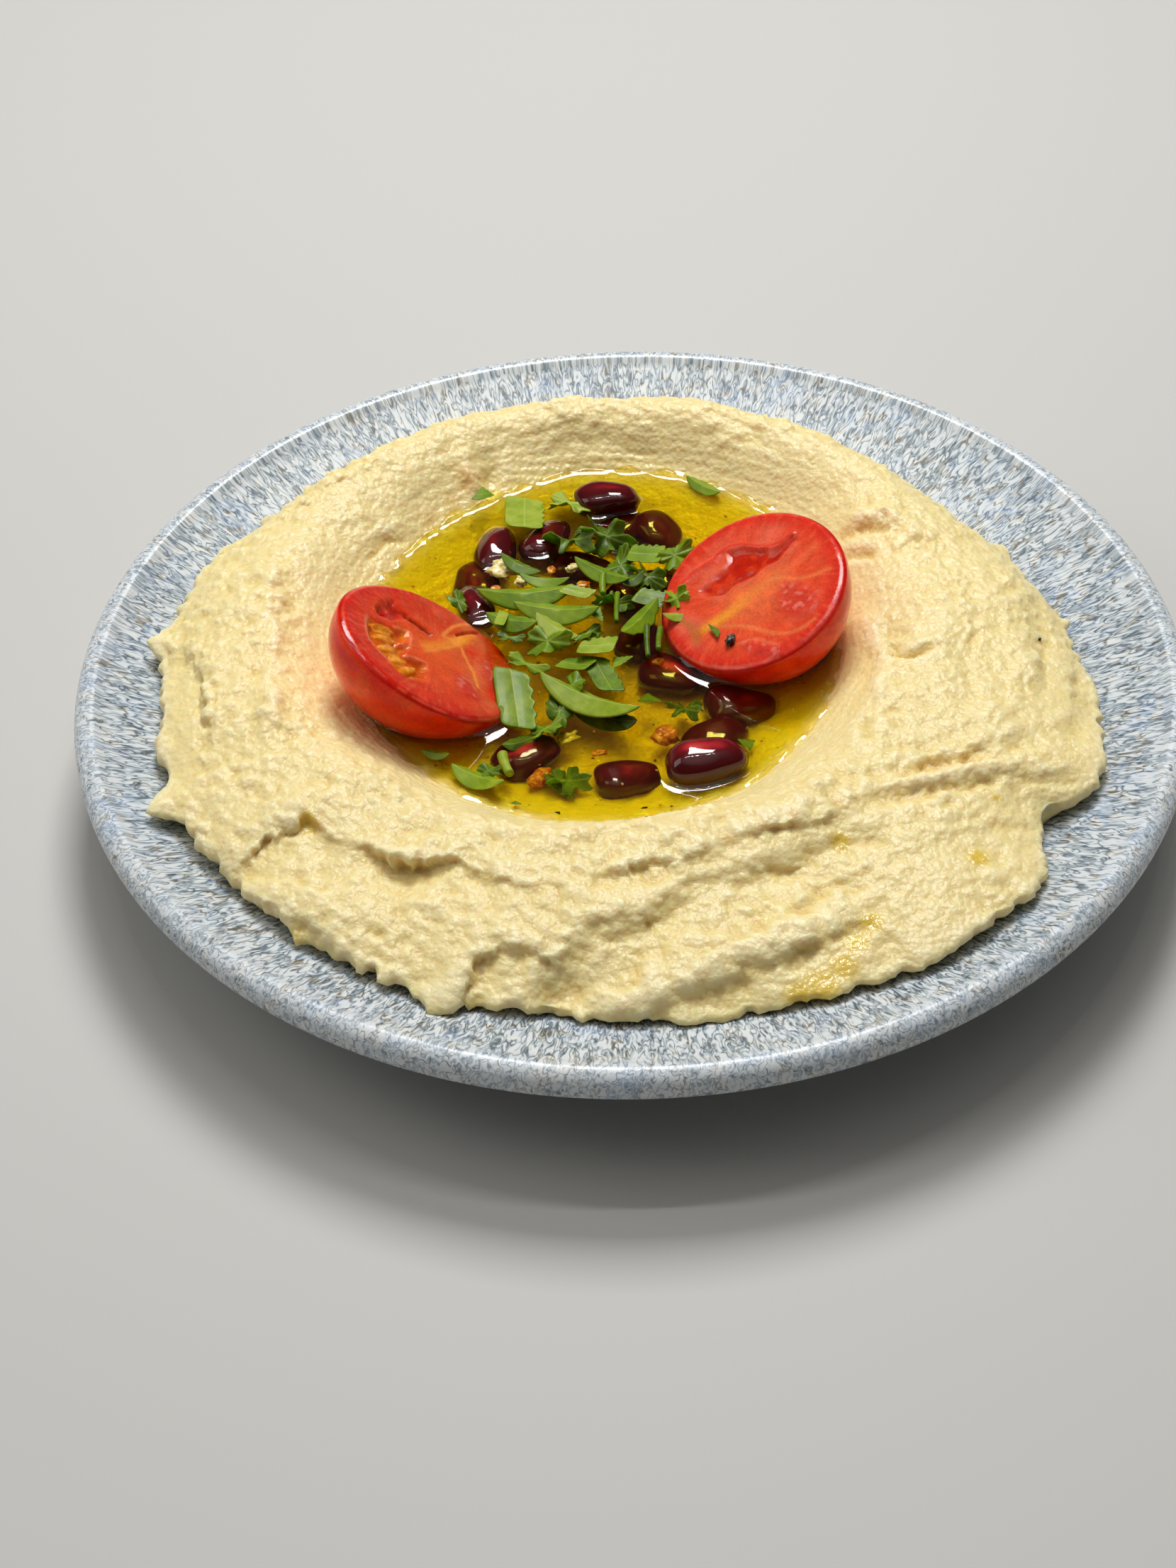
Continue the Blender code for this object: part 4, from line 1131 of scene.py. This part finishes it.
# Kind, middle in mm, heading in degrees, length and width in mm, and how light
LEAVES = (
    ("square", (-17.2, 42.4, 18.2), -90, (12.0, 7.6), 0.90),
    ("lobed", (-9.1, 44.8, 18.4), -9, (8.4, 8.4), 0.93),
    ("corner", (-24.5, 44.8, 21.0), -3, (4.2, 4.0), 0.60),
    ("curly", (-9.0, 33.6, 18.6), -26, (9.4, 7.0), 0.42),
    ("curly", (-2.9, 34.2, 18.8), -18, (10.0, 7.6), 0.38),
    ("blade", (-3.8, 24.0, 19.0), -38, (11.9, 3.8), 0.62),
    ("square", (3.9, 29.0, 18.6), -3, (6.6, 6.1), 0.68),
    ("lobed", (8.9, 28.1, 18.8), 33, (7.4, 4.6), 0.62),
    ("curly", (4.0, 22.8, 18.4), -48, (8.0, 5.0), 0.33),
    ("blade", (-17.3, 19.0, 18.8), 9, (16.9, 5.9), 0.66),
    ("blade", (-18.0, 27.4, 18.4), -29, (8.0, 3.3), 0.50),
    ("square", (-8.2, 18.3, 19.4), -23, (5.8, 3.2), 0.84),
    ("blade", (-11.8, 14.3, 18.8), -12, (15.0, 5.4), 0.73),
    ("blade", (-19.4, 12.1, 18.6), -25, (9.6, 4.2), 0.58),
    ("square", (-21.2, 12.3, 19.0), 79, (4.9, 2.2), 0.93),
    ("blade", (-11.9, 8.6, 19.4), -45, (9.8, 4.3), 0.97),
    ("lobed", (-13.5, 6.4, 18.6), -13, (9.0, 5.6), 0.60),
    ("square", (-5.2, 4.5, 18.8), 0, (6.8, 5.3), 0.88),
    ("lobed", (-19.9, 8.1, 18.2), 2, (5.0, 3.4), 0.41),
    ("lobed", (-17.2, 1.4, 18.0), -9, (7.6, 4.2), 0.77),
    ("square", (-8.9, 1.4, 17.6), -24, (6.2, 3.9), 0.62),
    ("square", (-4.5, -1.5, 17.6), -73, (11.0, 4.8), 0.50),
    ("square", (-19.0, -7.6, 18.2), -84, (13.9, 6.6), 0.66),
    ("blade", (-6.9, -8.2, 18.6), -34, (19.6, 6.2), 0.82),
    ("blade", (-4.5, -10.9, 16.4), -30, (12.5, 5.2), 0.29),
    ("lobed", (-11.8, -9.9, 17.2), -91, (11.6, 4.0), 0.42),
    ("lobed", (-14.2, -14.8, 17.8), 12, (6.0, 5.0), 0.66),
    ("blade", (-18.2, -16.6, 16.8), 27, (6.8, 3.4), 0.40),
    ("stalk", (-20.6, -23.3, 18.4), -76, (5.0, 1.6), 0.95),
    ("blade", (-24.8, -25.8, 18.2), -36, (10.6, 4.4), 0.80),
    ("blade", (-31.6, -19.8, 18.0), -25, (5.2, 2.0), 0.70),
    ("curly", (-10.8, -25.5, 15.8), -3, (7.0, 6.2), 0.50),
    ("lobed", (-12.1, -25.6, 15.4), -60, (7.2, 3.6), 0.50),
    ("lobed", (-23.4, -23.9, 17.6), -20, (5.0, 3.2), 0.50),
    ("corner", (-18.9, -31.1, 17.3), -3, (1.8, 1.5), 0.50),
    ("corner", (2.9, -6.7, 15.9), -3, (4.2, 3.2), 0.50),
    ("curly", (8.6, -9.2, 15.6), -40, (6.4, 5.2), 0.40),
    ("corner", (18.2, -18.4, 16.0), -63, (3.6, 2.6), 0.50),
    ("blade", (15.2, 49.5, 17.6), -43, (7.9, 3.0), 0.72),
    ("blade", (2.1, 11.2, 18.6), -121, (12.2, 4.0), 0.66),
    ("curly", (8.5, 14.8, 19.9), -25, (5.2, 4.8), 0.75),
    ("blade", (8.4, 10.7, 19.7), 14, (5.4, 2.7), 0.88),
    ("corner", (14.4, 3.8, 21.6), -73, (4.0, 2.0), 0.40),
    ("stalk", (3.1, 5.8, 18.4), -91, (7.4, 1.0), 0.35),
    ("stalk", (5.1, 6.0, 18.6), -96, (6.8, 1.0), 0.48),
    ("stalk", (-1.7, 15.1, 18.2), -93, (8.6, 0.9), 0.50),
    ("stalk", (-3.9, 21.1, 18.6), -92, (4.9, 1.2), 0.65),
    ("lobed", (-28.7, 18.1, 18.4), -60, (5.6, 2.8), 0.50),
    ("corner", (-5.4, 13.0, 19.0), -47, (5.4, 2.8), 0.55),
    ("blade", (1.4, 21.4, 19.2), 36, (4.6, 2.8), 0.35),
    ("lobed", (-0.5, 27.0, 17.8), 70, (8.0, 5.0), 0.45),
    ("square", (4.6, 17.6, 17.9), -15, (6.6, 4.2), 0.52),
    ("lobed", (-7.5, 9.0, 17.4), 40, (7.4, 5.6), 0.48),
    ("blade", (-13.8, 24.0, 17.8), -14, (9.0, 3.6), 0.70),
    ("curly", (-2.0, 17.5, 17.4), 20, (7.4, 5.4), 0.42),
    ("corner", (-1.5, 2.0, 17.4), 30, (4.2, 3.2), 0.66),
    ("lobed", (-9.5, -3.6, 17.4), -60, (7.0, 4.4), 0.56),
)
TILT = 11                         # random lean of a piece either way, degrees
TILT_CURLY = 24


def leaf(name, outline, bend):
    """A thin closed leaf about one unit long and wide.

    outline gives the brink's distance from the middle along and across at an
    angle; bend gives the height of the leaf at a share of the way out.
    """
    turn = np.linspace(0, 2 * np.pi, LEAF_STEPS, endpoint=False)
    x, y = outline(turn)
    rings, sides = [], []
    for side, shares in ((1, (0, 0.2, 0.4, 0.6, 0.8, 0.94, 1)), (-1, (0.97, 0.8, 0.6, 0.4, 0.2, 0))):
        for share in shares:
            every = LEAF_STEPS if share == 0 else 2 if share < 0.5 else 1
            px, py = (share * x)[::every], (share * y)[::every]
            half = 0.5 * LEAF_THICK * side * min(1.0, (1 - share) / 0.06) if share < 1 else 0.0
            rings.append(np.column_stack((px, py, bend(px, py, share, turn[::every]) + half)))
            sides.append(np.full(len(px), side))
    made = ring_mesh(name, rings)
    points = np.concatenate(rings)
    store(made, "lengthwise", points[:, 0])
    store(made, "sideways", points[:, 1])
    store(made, "face", np.concatenate(sides).astype(float))
    return bpy.data.objects.new(name, made)


def blade_outline(turn):
    """A slender lens with a few teeth on one side."""
    teeth = 1 + 0.10 * np.sin(11 * turn) * (np.sin(turn) > 0)
    return 0.5 * np.cos(turn), 0.5 * np.sin(turn) * np.abs(np.sin(turn)) ** 0.35 * teeth


def square_outline(turn):
    """A block with straight cuts and one toothed side."""
    c, s = np.cos(turn), np.sin(turn)
    out = (np.abs(c) ** 7 + np.abs(s) ** 7) ** (-1 / 7)
    teeth = 1 + 0.10 * np.sin(17 * turn) * (np.abs(turn - 1.6) < 0.7)
    return 0.46 * out * c + 0.10 * out * s, 0.46 * out * s * teeth


def lobed_outline(turn):
    """Three toothed lobes round a narrow base."""
    out = (0.50 + 0.50 * np.abs(np.cos(1.5 * turn)) ** 0.55) * (1 + 0.09 * np.sin(13 * turn + 1))
    return 0.52 * out * np.cos(turn), 0.56 * out * np.sin(turn)


def curly_outline(turn):
    """Five deep narrow lobes with teeth."""
    out = (0.36 + 0.64 * np.abs(np.cos(2.5 * turn + 0.4)) ** 0.6) * (1 + 0.13 * np.sin(17 * turn))
    return 0.54 * out * np.cos(turn), 0.54 * out * np.sin(turn)


def corner_outline(turn):
    """A cut-off corner with three blunt points."""
    third = 2 * np.pi / 3
    out = np.minimum(0.5 / np.cos((turn + 0.4) % third - third / 2), 0.86) * (1 + 0.06 * np.sin(9 * turn))
    return 0.62 * out * np.cos(turn), 0.62 * out * np.sin(turn)


def stalk(name):
    """A round stalk along x, one unit thick and long, a little bent."""
    rings = [np.array([(-0.5, 0.0, 0.0)])]
    turn = np.linspace(0, 2 * np.pi, 12, endpoint=False)
    for x in np.linspace(-0.5, 0.5, 14):
        thick = 0.5 * (1 - 0.25 * x)
        rings.append(np.column_stack((np.full(12, x), thick * np.sin(turn) + 0.5 * x * x,
                                      thick * np.cos(turn))))
    rings.append(np.array([(0.5, 0.0, 0.0)]))
    made = ring_mesh(name, rings)
    count = len(made.vertices)
    store(made, "lengthwise", np.concatenate(rings)[:, 0])
    store(made, "sideways", np.full(count, 0.25))
    store(made, "face", np.ones(count))
    return bpy.data.objects.new(name, made)


def scatter_mesh(name, rows):
    """Points that carry the kind, turn, size and lightness of what stands on each."""
    made = bpy.data.meshes.new(name)
    made.from_pydata([row[0] for row in rows], [], [])
    for key, kind, column in (("turn", "FLOAT_VECTOR", 1), ("size", "FLOAT_VECTOR", 2)):
        made.attributes.new(key, kind, "POINT").data.foreach_set(
            "vector", np.array([row[column] for row in rows], float).ravel())
    store(made, "light", [row[3] for row in rows])
    made.attributes.new("kind", "INT", "POINT").data.foreach_set("value", [row[4] for row in rows])
    return made


# Parsley: thin green leaf that light shines through, with paler veins, wet
# with oil
green, tree = new_material("flat_leaf_parsley")
spot = add_node(tree, "ShaderNodeTexCoord").outputs["Object"]
light = add_node(tree, "ShaderNodeAttribute", attribute_name="light").outputs["Fac"]
along = add_node(tree, "ShaderNodeAttribute", attribute_name="lengthwise").outputs["Fac"]
across = add_node(tree, "ShaderNodeAttribute", attribute_name="sideways").outputs["Fac"]
off_rib = add_node(tree, "ShaderNodeMath", {"Value": across}, operation="ABSOLUTE")
rib = add_node(tree, "ShaderNodeMapRange",
               {"Value": off_rib, "From Min": 0.0, "From Max": 0.028, "To Min": 1.0, "To Max": 0.0})
slanted = add_node(tree, "ShaderNodeMath", {"Value": off_rib, "Value_001": -0.9, "Value_002": along},
                   operation="MULTIPLY_ADD")
rows = add_node(tree, "ShaderNodeMath", {"Value": slanted, "Value_001": 34.0}, operation="MULTIPLY")
wave = add_node(tree, "ShaderNodeMath", {"Value": rows}, operation="SINE")
side_veins = add_node(tree, "ShaderNodeMapRange",
                      {"Value": wave, "From Min": 0.93, "From Max": 1.0, "To Max": 0.35})
veins = add_node(tree, "ShaderNodeMath", {"Value": rib, "Value_001": side_veins}, operation="MAXIMUM")
patches = add_node(tree, "ShaderNodeTexNoise", {"Vector": spot, "Scale": 1 / (2.4 * MM), "Detail": 2.0})
shift = add_node(tree, "ShaderNodeMapRange",
                 {"Value": patches, "From Min": 0.3, "From Max": 0.7, "To Min": -0.13, "To Max": 0.13})
tone = add_node(tree, "ShaderNodeMath", {"Value": light, "Value_001": shift}, operation="ADD")
leaf_green = add_node(tree, "ShaderNodeValToRGB", {"Fac": tone}, stops=(
    (0.10, "#283400"), (0.35, "#465e00"), (0.60, "#678400"), (0.82, "#83980e"), (1.0, "#9aa836")))
veined = add_node(tree, "ShaderNodeMix",
                  {"Factor": add_node(tree, "ShaderNodeMath", {"Value": veins, "Value_001": 0.42},
                                      operation="MULTIPLY"),
                   "A": leaf_green, "B": linear("#b4bf66")}, data_type="RGBA")
crease = add_node(tree, "ShaderNodeBump", {"Height": veins, "Strength": 0.25, "Distance": 0.06 * MM})
shader = add_node(tree, "ShaderNodeBsdfPrincipled",
                  {"Base Color": veined, "Roughness": 0.45, "IOR": 1.33, "Normal": crease,
                   "Subsurface Weight": 0.25, "Subsurface Radius": (0.45, 1.0, 0.15),
                   "Subsurface Scale": 0.6 * MM, "Coat Weight": 0.05, "Coat Roughness": 0.08})
add_node(tree, "ShaderNodeOutputMaterial", {"Surface": shader})

# Instance a kind of piece on each point, then make them all real
scatter, given = new_tree("scatter_pieces", kinds="Collection", finish="Material")
held = {}
for key, kind in (("turn", "FLOAT_VECTOR"), ("size", "FLOAT_VECTOR"), ("kind", "INT")):
    held[key] = add_node(scatter, "GeometryNodeInputNamedAttribute", {"Name": key}, data_type=kind)
pieces = add_node(scatter, "GeometryNodeCollectionInfo",
                  {"Collection": given["Kinds"], "Separate Children": True, "Reset Children": True})
turned = add_node(scatter, "FunctionNodeEulerToRotation", {"Euler": held["turn"]})
placed = add_node(scatter, "GeometryNodeInstanceOnPoints",
                  {"Points": given["Geometry"], "Instance": pieces, "Pick Instance": True,
                   "Instance Index": held["kind"], "Rotation": turned, "Scale": held["size"]})
real = add_node(scatter, "GeometryNodeRealizeInstances", {"Geometry": placed})
dressed = add_node(scatter, "GeometryNodeSetMaterial", {"Geometry": real, "Material": given["Finish"]})
add_node(scatter, "NodeGroupOutput", {"Geometry": dressed})


def scatter_piece(name, rows, kinds, finish):
    """A piece made of all the kinds' copies on the rows' points."""
    shelf = bpy.data.collections.new(name + "_kinds")
    for kind in kinds:
        shelf.objects.link(kind)
    piece = add_piece(name, scatter_mesh(name, rows), finish, ())
    grow(piece, scatter, kinds=shelf, finish=finish)
    for kind in kinds:
        bpy.data.objects.remove(kind)
    bpy.data.collections.remove(shelf)
    return piece


# Each kind's outline, and the height of the leaf at a place; the collection
# sorts its pieces by name, so each name starts with its number
shapes = {
    "blade": (blade_outline, lambda x, y, share, turn: 0.5 * x * x - 0.25 * np.abs(y)),
    "square": (square_outline,
               lambda x, y, share, turn: 0.16 * x * x + 0.30 * y * y - 0.12 * np.abs(y)),
    "lobed": (lobed_outline,
              lambda x, y, share, turn: (0.12 * share ** 2 * np.sin(3 * turn + 0.8)
                                         + 0.05 * share * np.sin(7 * turn))),
    "curly": (curly_outline,
              lambda x, y, share, turn: (0.20 * share ** 2 * np.sin(5 * turn + 0.5)
                                         + 0.10 * share * np.sin(2 * turn))),
    "corner": (corner_outline, lambda x, y, share, turn: 0.3 * x * x - 0.12 * y),
}
leaf_kinds = [leaf(f"{number}_{kind}", *shape)
              for number, (kind, shape) in enumerate(shapes.items())]
leaf_kinds.append(stalk(f"{len(shapes)}_stalk"))
order = [*shapes, "stalk"]
rng = np.random.default_rng(11)
rows = []
for kind, middle, heading, (length, width), lightness in LEAVES:
    lean = TILT_CURLY if kind in ("curly", "lobed") else TILT
    pitch, roll = rng.uniform(-lean, lean, 2)
    high = width if kind == "stalk" else 0.5 * (length + width)
    rows.append((Vector(middle) * MM, [math.radians(a) for a in (roll, pitch, heading)],
                 (length * MM, width * MM, high * MM), lightness, order.index(kind)))
scatter_piece("parsley_chopped", rows, leaf_kinds, green)

# ---------------------------------------------------------------------------
# Crumbs: bits that fell in with the garnish: amber flakes of fried onion,
# hummus crumbs and fine spice in the oil, and grains of crushed black pepper
# on the right tomato and the hummus.
# ---------------------------------------------------------------------------
# Middle in mm, heading in degrees, length, width and height in mm
AMBER_BITS = (((5.4, -15.4, 15.4), 20, (4.6, 3.8, 2.6)), ((-15.2, -24.2, 15.2), 55, (5.0, 3.0, 2.2)),
              ((-7.2, 22.6, 17.4), 10, (2.4, 1.4, 0.8)), ((-12.6, 27.0, 17.4), 70, (2.0, 1.4, 0.9)),
              ((4.8, 2.4, 16.2), 40, (2.0, 1.6, 1.0)), ((-5.6, -19.2, 15.8), 15, (2.6, 1.2, 0.8)),
              ((-22.2, 22.4, 17.2), 30, (2.2, 1.5, 0.8)))
PALE_CRUMBS = (((-20.5, 28.0, 17.3), 20, (5.2, 3.2, 1.6)), ((-17.8, 24.6, 17.2), 70, (3.4, 2.0, 1.2)),
               ((-10.6, -15.2, 15.4), 35, (3.4, 1.9, 1.2)), ((-23.0, 33.4, 17.2), 5, (2.4, 1.6, 1.0)),
               ((-9.0, 27.6, 17.2), 50, (2.6, 1.6, 1.0)), ((1.8, 33.8, 17.0), 80, (2.0, 1.4, 0.9)))
DARK_BITS = (((67.4, -0.3, 20.9), 0, (0.9, 0.5, 0.4)), ((40.9, -60.7, 13.9), 40, (0.7, 0.5, 0.4)),
             ((14.9, -76.4, 10.4), 20, (0.8, 0.4, 0.4)), ((-41.1, -45.6, 18.6), 60, (1.3, 0.7, 0.5)))
PEPPER_ON_CUT = (7.0, -8.5)       # where the grain lies on the right half's cut, mm
PEPPER_SIZE = (2.5, 1.5, 1.3)
PEPPER_LIFT = 0.75                # how far its middle is off the cut
SPICE_COUNT = 150
SPICE_SIZE = (0.25, 0.75)         # shortest and longest speck, mm


def pebble(name, seedling, jag):
    """A lumpy crumb one unit across."""
    bends = np.linspace(0, math.pi, 13)[1:-1]
    rings = [np.array([(0.0, 0.0, 0.5)])]
    rings += [0.5 * circle(math.sin(bend), math.cos(bend), 20) for bend in bends]
    rings.append(np.array([(0.0, 0.0, -0.5)]))
    sizes = np.cumsum([len(ring) for ring in rings])[:-1]
    ball = np.concatenate(rings)
    dents = unevenness(ball + seedling, 0.3) + 0.4 * unevenness(ball + seedling, 0.12)
    ball *= (1 + jag * dents)[:, None]
    return bpy.data.objects.new(name, ring_mesh(name, np.split(ball, sizes)))


def crumb_material(name, stops, grain, **settings):
    """A crumb's stuff, its colours mottled at a grain size."""
    made, tree = new_material(name)
    spot = add_node(tree, "ShaderNodeTexCoord").outputs["Object"]
    mottle = add_node(tree, "ShaderNodeTexNoise", {"Vector": spot, "Scale": 1 / grain, "Detail": 2.0})
    colour = add_node(tree, "ShaderNodeValToRGB", {"Fac": mottle}, stops=stops)
    shader = add_node(tree, "ShaderNodeBsdfPrincipled", {"Base Color": colour, **settings})
    add_node(tree, "ShaderNodeOutputMaterial", {"Surface": shader})
    return made


# Amber flakes: translucent brown and glossy with oil
amber = crumb_material("fried_onion_flake", ((0.35, "#b4560a"), (0.5, "#d27c16"), (0.65, "#ecae38")),
                       0.9 * MM, **{"Roughness": 0.22, "Subsurface Weight": 0.6,
                                    "Subsurface Radius": (1.0, 0.4, 0.1), "Subsurface Scale": 1.6 * MM})
# Crumbs: bits of the same paste, soaked through
soaked_paste = crumb_material("soaked_hummus_crumb", ((0.35, "#d8b84c"), (0.5, "#e8d287"), (0.65, "#f4e8b4")),
                              0.8 * MM, **{"Roughness": 0.3})
# Pepper: a crushed black corn with a grey bloom
pepper = crumb_material("crushed_black_pepper", ((0.40, "#14110f"), (0.55, "#4c463f"), (0.68, "#8d857a")),
                        0.4 * MM, **{"Roughness": 0.4})
# Spice: ground cumin and paprika, tan to gold
spice = crumb_material("ground_spice", ((0.40, "#8a5a14"), (0.55, "#d0a23c"), (0.65, "#ecd080")),
                       1.5 * MM, **{"Roughness": 0.4})


def crumb_rows(table):
    """Scatter rows for a table of crumbs."""
    return [(Vector(middle) * MM, (0.2, 0.1, math.radians(heading)), [side * MM for side in size], 0.5,
             number % 3) for number, (middle, heading, size) in enumerate(table)]


def pebbles(jag):
    """Three different crumbs to pick from."""
    return [pebble(f"{k}_crumb", 3.7 * k, jag) for k in range(3)]


scatter_piece("onion_flakes", crumb_rows(AMBER_BITS), pebbles(0.55), amber)
scatter_piece("hummus_crumbs", crumb_rows(PALE_CRUMBS), pebbles(1.1), soaked_paste)
cut_middle, cut_normal, cut_long = (np.array(part) for part in TOMATOES["right"][1:4])
cut_normal = cut_normal / np.linalg.norm(cut_normal)
cut_across = np.cross(cut_normal, cut_long)
cut_across /= np.linalg.norm(cut_across)
grain_spot = (cut_middle + PEPPER_ON_CUT[0] * np.cross(cut_across, cut_normal)
              + PEPPER_ON_CUT[1] * cut_across + PEPPER_LIFT * cut_normal)
dark = DARK_BITS + ((tuple(grain_spot), 70, PEPPER_SIZE),)
scatter_piece("pepper_grains", crumb_rows(dark), pebbles(0.8), pepper)
rows = []
while len(rows) < SPICE_COUNT:
    angle, reach = rng.uniform(0, 360), math.sqrt(rng.uniform(0.01, 0.92))
    radius = reach * around(POOL_EDGE, np.array([angle]))[0]
    x = WELL[0] + radius * math.cos(math.radians(angle))
    y = WELL[1] + radius * math.sin(math.radians(angle))
    ground = bed.ray_cast(Vector((x, y, 0)) + above_all, down)[0].z
    z = rng.uniform(min(ground + 0.2 * MM, OIL_LEVEL - 0.4 * MM), OIL_LEVEL)
    long = rng.uniform(*SPICE_SIZE) * MM
    rows.append((Vector((x, y, z)), rng.uniform(0, 6.28, 3), (long, 0.7 * long, 0.5 * long), 0.5,
                 int(rng.integers(3))))
scatter_piece("spice_specks", rows, pebbles(0.7), spice)

# ---------------------------------------------------------------------------
# Stage: a matt pale tabletop under soft studio light from above and behind,
# seen from above at the front.
# ---------------------------------------------------------------------------
# Soft lights: place in metres, size in metres and power in watts
KEY_LIGHT = ((0.03, 0.45, 0.73), 0.28, 5.6)
FILL_LIGHT = ((-0.70, 0.05, 0.60), 0.5, 1.4)
LAMPS = 7                         # a row of small lamps that glints in the oil
LAMP_SPACING = 0.07
LAMP_ROW = (0.14, 0.80)           # how far back and how high the row hangs
LAMP_LIGHT = (0.025, 0.15)        # size and power of each
CAMERA_PLACE = (-0.00758, -0.29642, 0.27169)
CAMERA_RIGHT = Vector((0.99938, -0.02420, -0.02559))
CAMERA_UP = Vector((0.03522, 0.68658, 0.72620))
CAMERA_LENS = 54.1                # mm, on a 36 mm sensor

table, tree = new_material("pale_tabletop")
shader = add_node(tree, "ShaderNodeBsdfPrincipled",
                  {"Base Color": linear("#c2c0bb"), "Roughness": 0.6})
add_node(tree, "ShaderNodeOutputMaterial", {"Surface": shader})
bpy.ops.mesh.primitive_plane_add(size=6.0)
floor = bpy.context.object
floor.name = "tabletop"
floor.data.materials.append(table)

world = bpy.data.worlds.new("studio")
world.use_nodes = True
tree = world.node_tree
tree.nodes.clear()
way = add_node(tree, "ShaderNodeSeparateXYZ",
               {"Vector": add_node(tree, "ShaderNodeTexCoord").outputs["Generated"]})
sky = add_node(tree, "ShaderNodeValToRGB", {"Fac": way.outputs["Z"]}, stops=(
    (0.0, "#c0c0c0"), (0.2, "#868686"), (0.45, "#3c3c3c"), (0.8, "#646464"), (0.97, "#ffffff")))
glow = add_node(tree, "ShaderNodeBackground", {"Color": sky, "Strength": 0.65})
add_node(tree, "ShaderNodeOutputWorld", {"Surface": glow})
bpy.context.scene.world = world


def softbox(name, place, size, power):
    """A square soft light that faces the plate."""
    lamp = bpy.data.lights.new(name, "AREA")
    lamp.size = size
    lamp.energy = power
    made = bpy.data.objects.new(name, lamp)
    made.location = place
    made.rotation_euler = (-Vector(place)).to_track_quat("-Z", "Y").to_euler()
    bpy.context.scene.collection.objects.link(made)


softbox("key_overhead", *KEY_LIGHT)
softbox("fill_left", *FILL_LIGHT)
for number in range(LAMPS):
    off_middle = LAMP_SPACING * (number - (LAMPS - 1) / 2)
    softbox(f"lamp_{number + 1}", (off_middle, *LAMP_ROW), *LAMP_LIGHT)

camera = bpy.data.objects.new("camera", bpy.data.cameras.new("camera"))
facing = Matrix((CAMERA_RIGHT, CAMERA_UP, CAMERA_RIGHT.cross(CAMERA_UP))).transposed().to_4x4()
camera.matrix_world = Matrix.Translation(CAMERA_PLACE) @ facing
camera.data.lens = CAMERA_LENS
camera.data.sensor_width = 36
bpy.context.scene.collection.objects.link(camera)
bpy.context.scene.camera = camera
bpy.context.scene.view_settings.view_transform = "Standard"
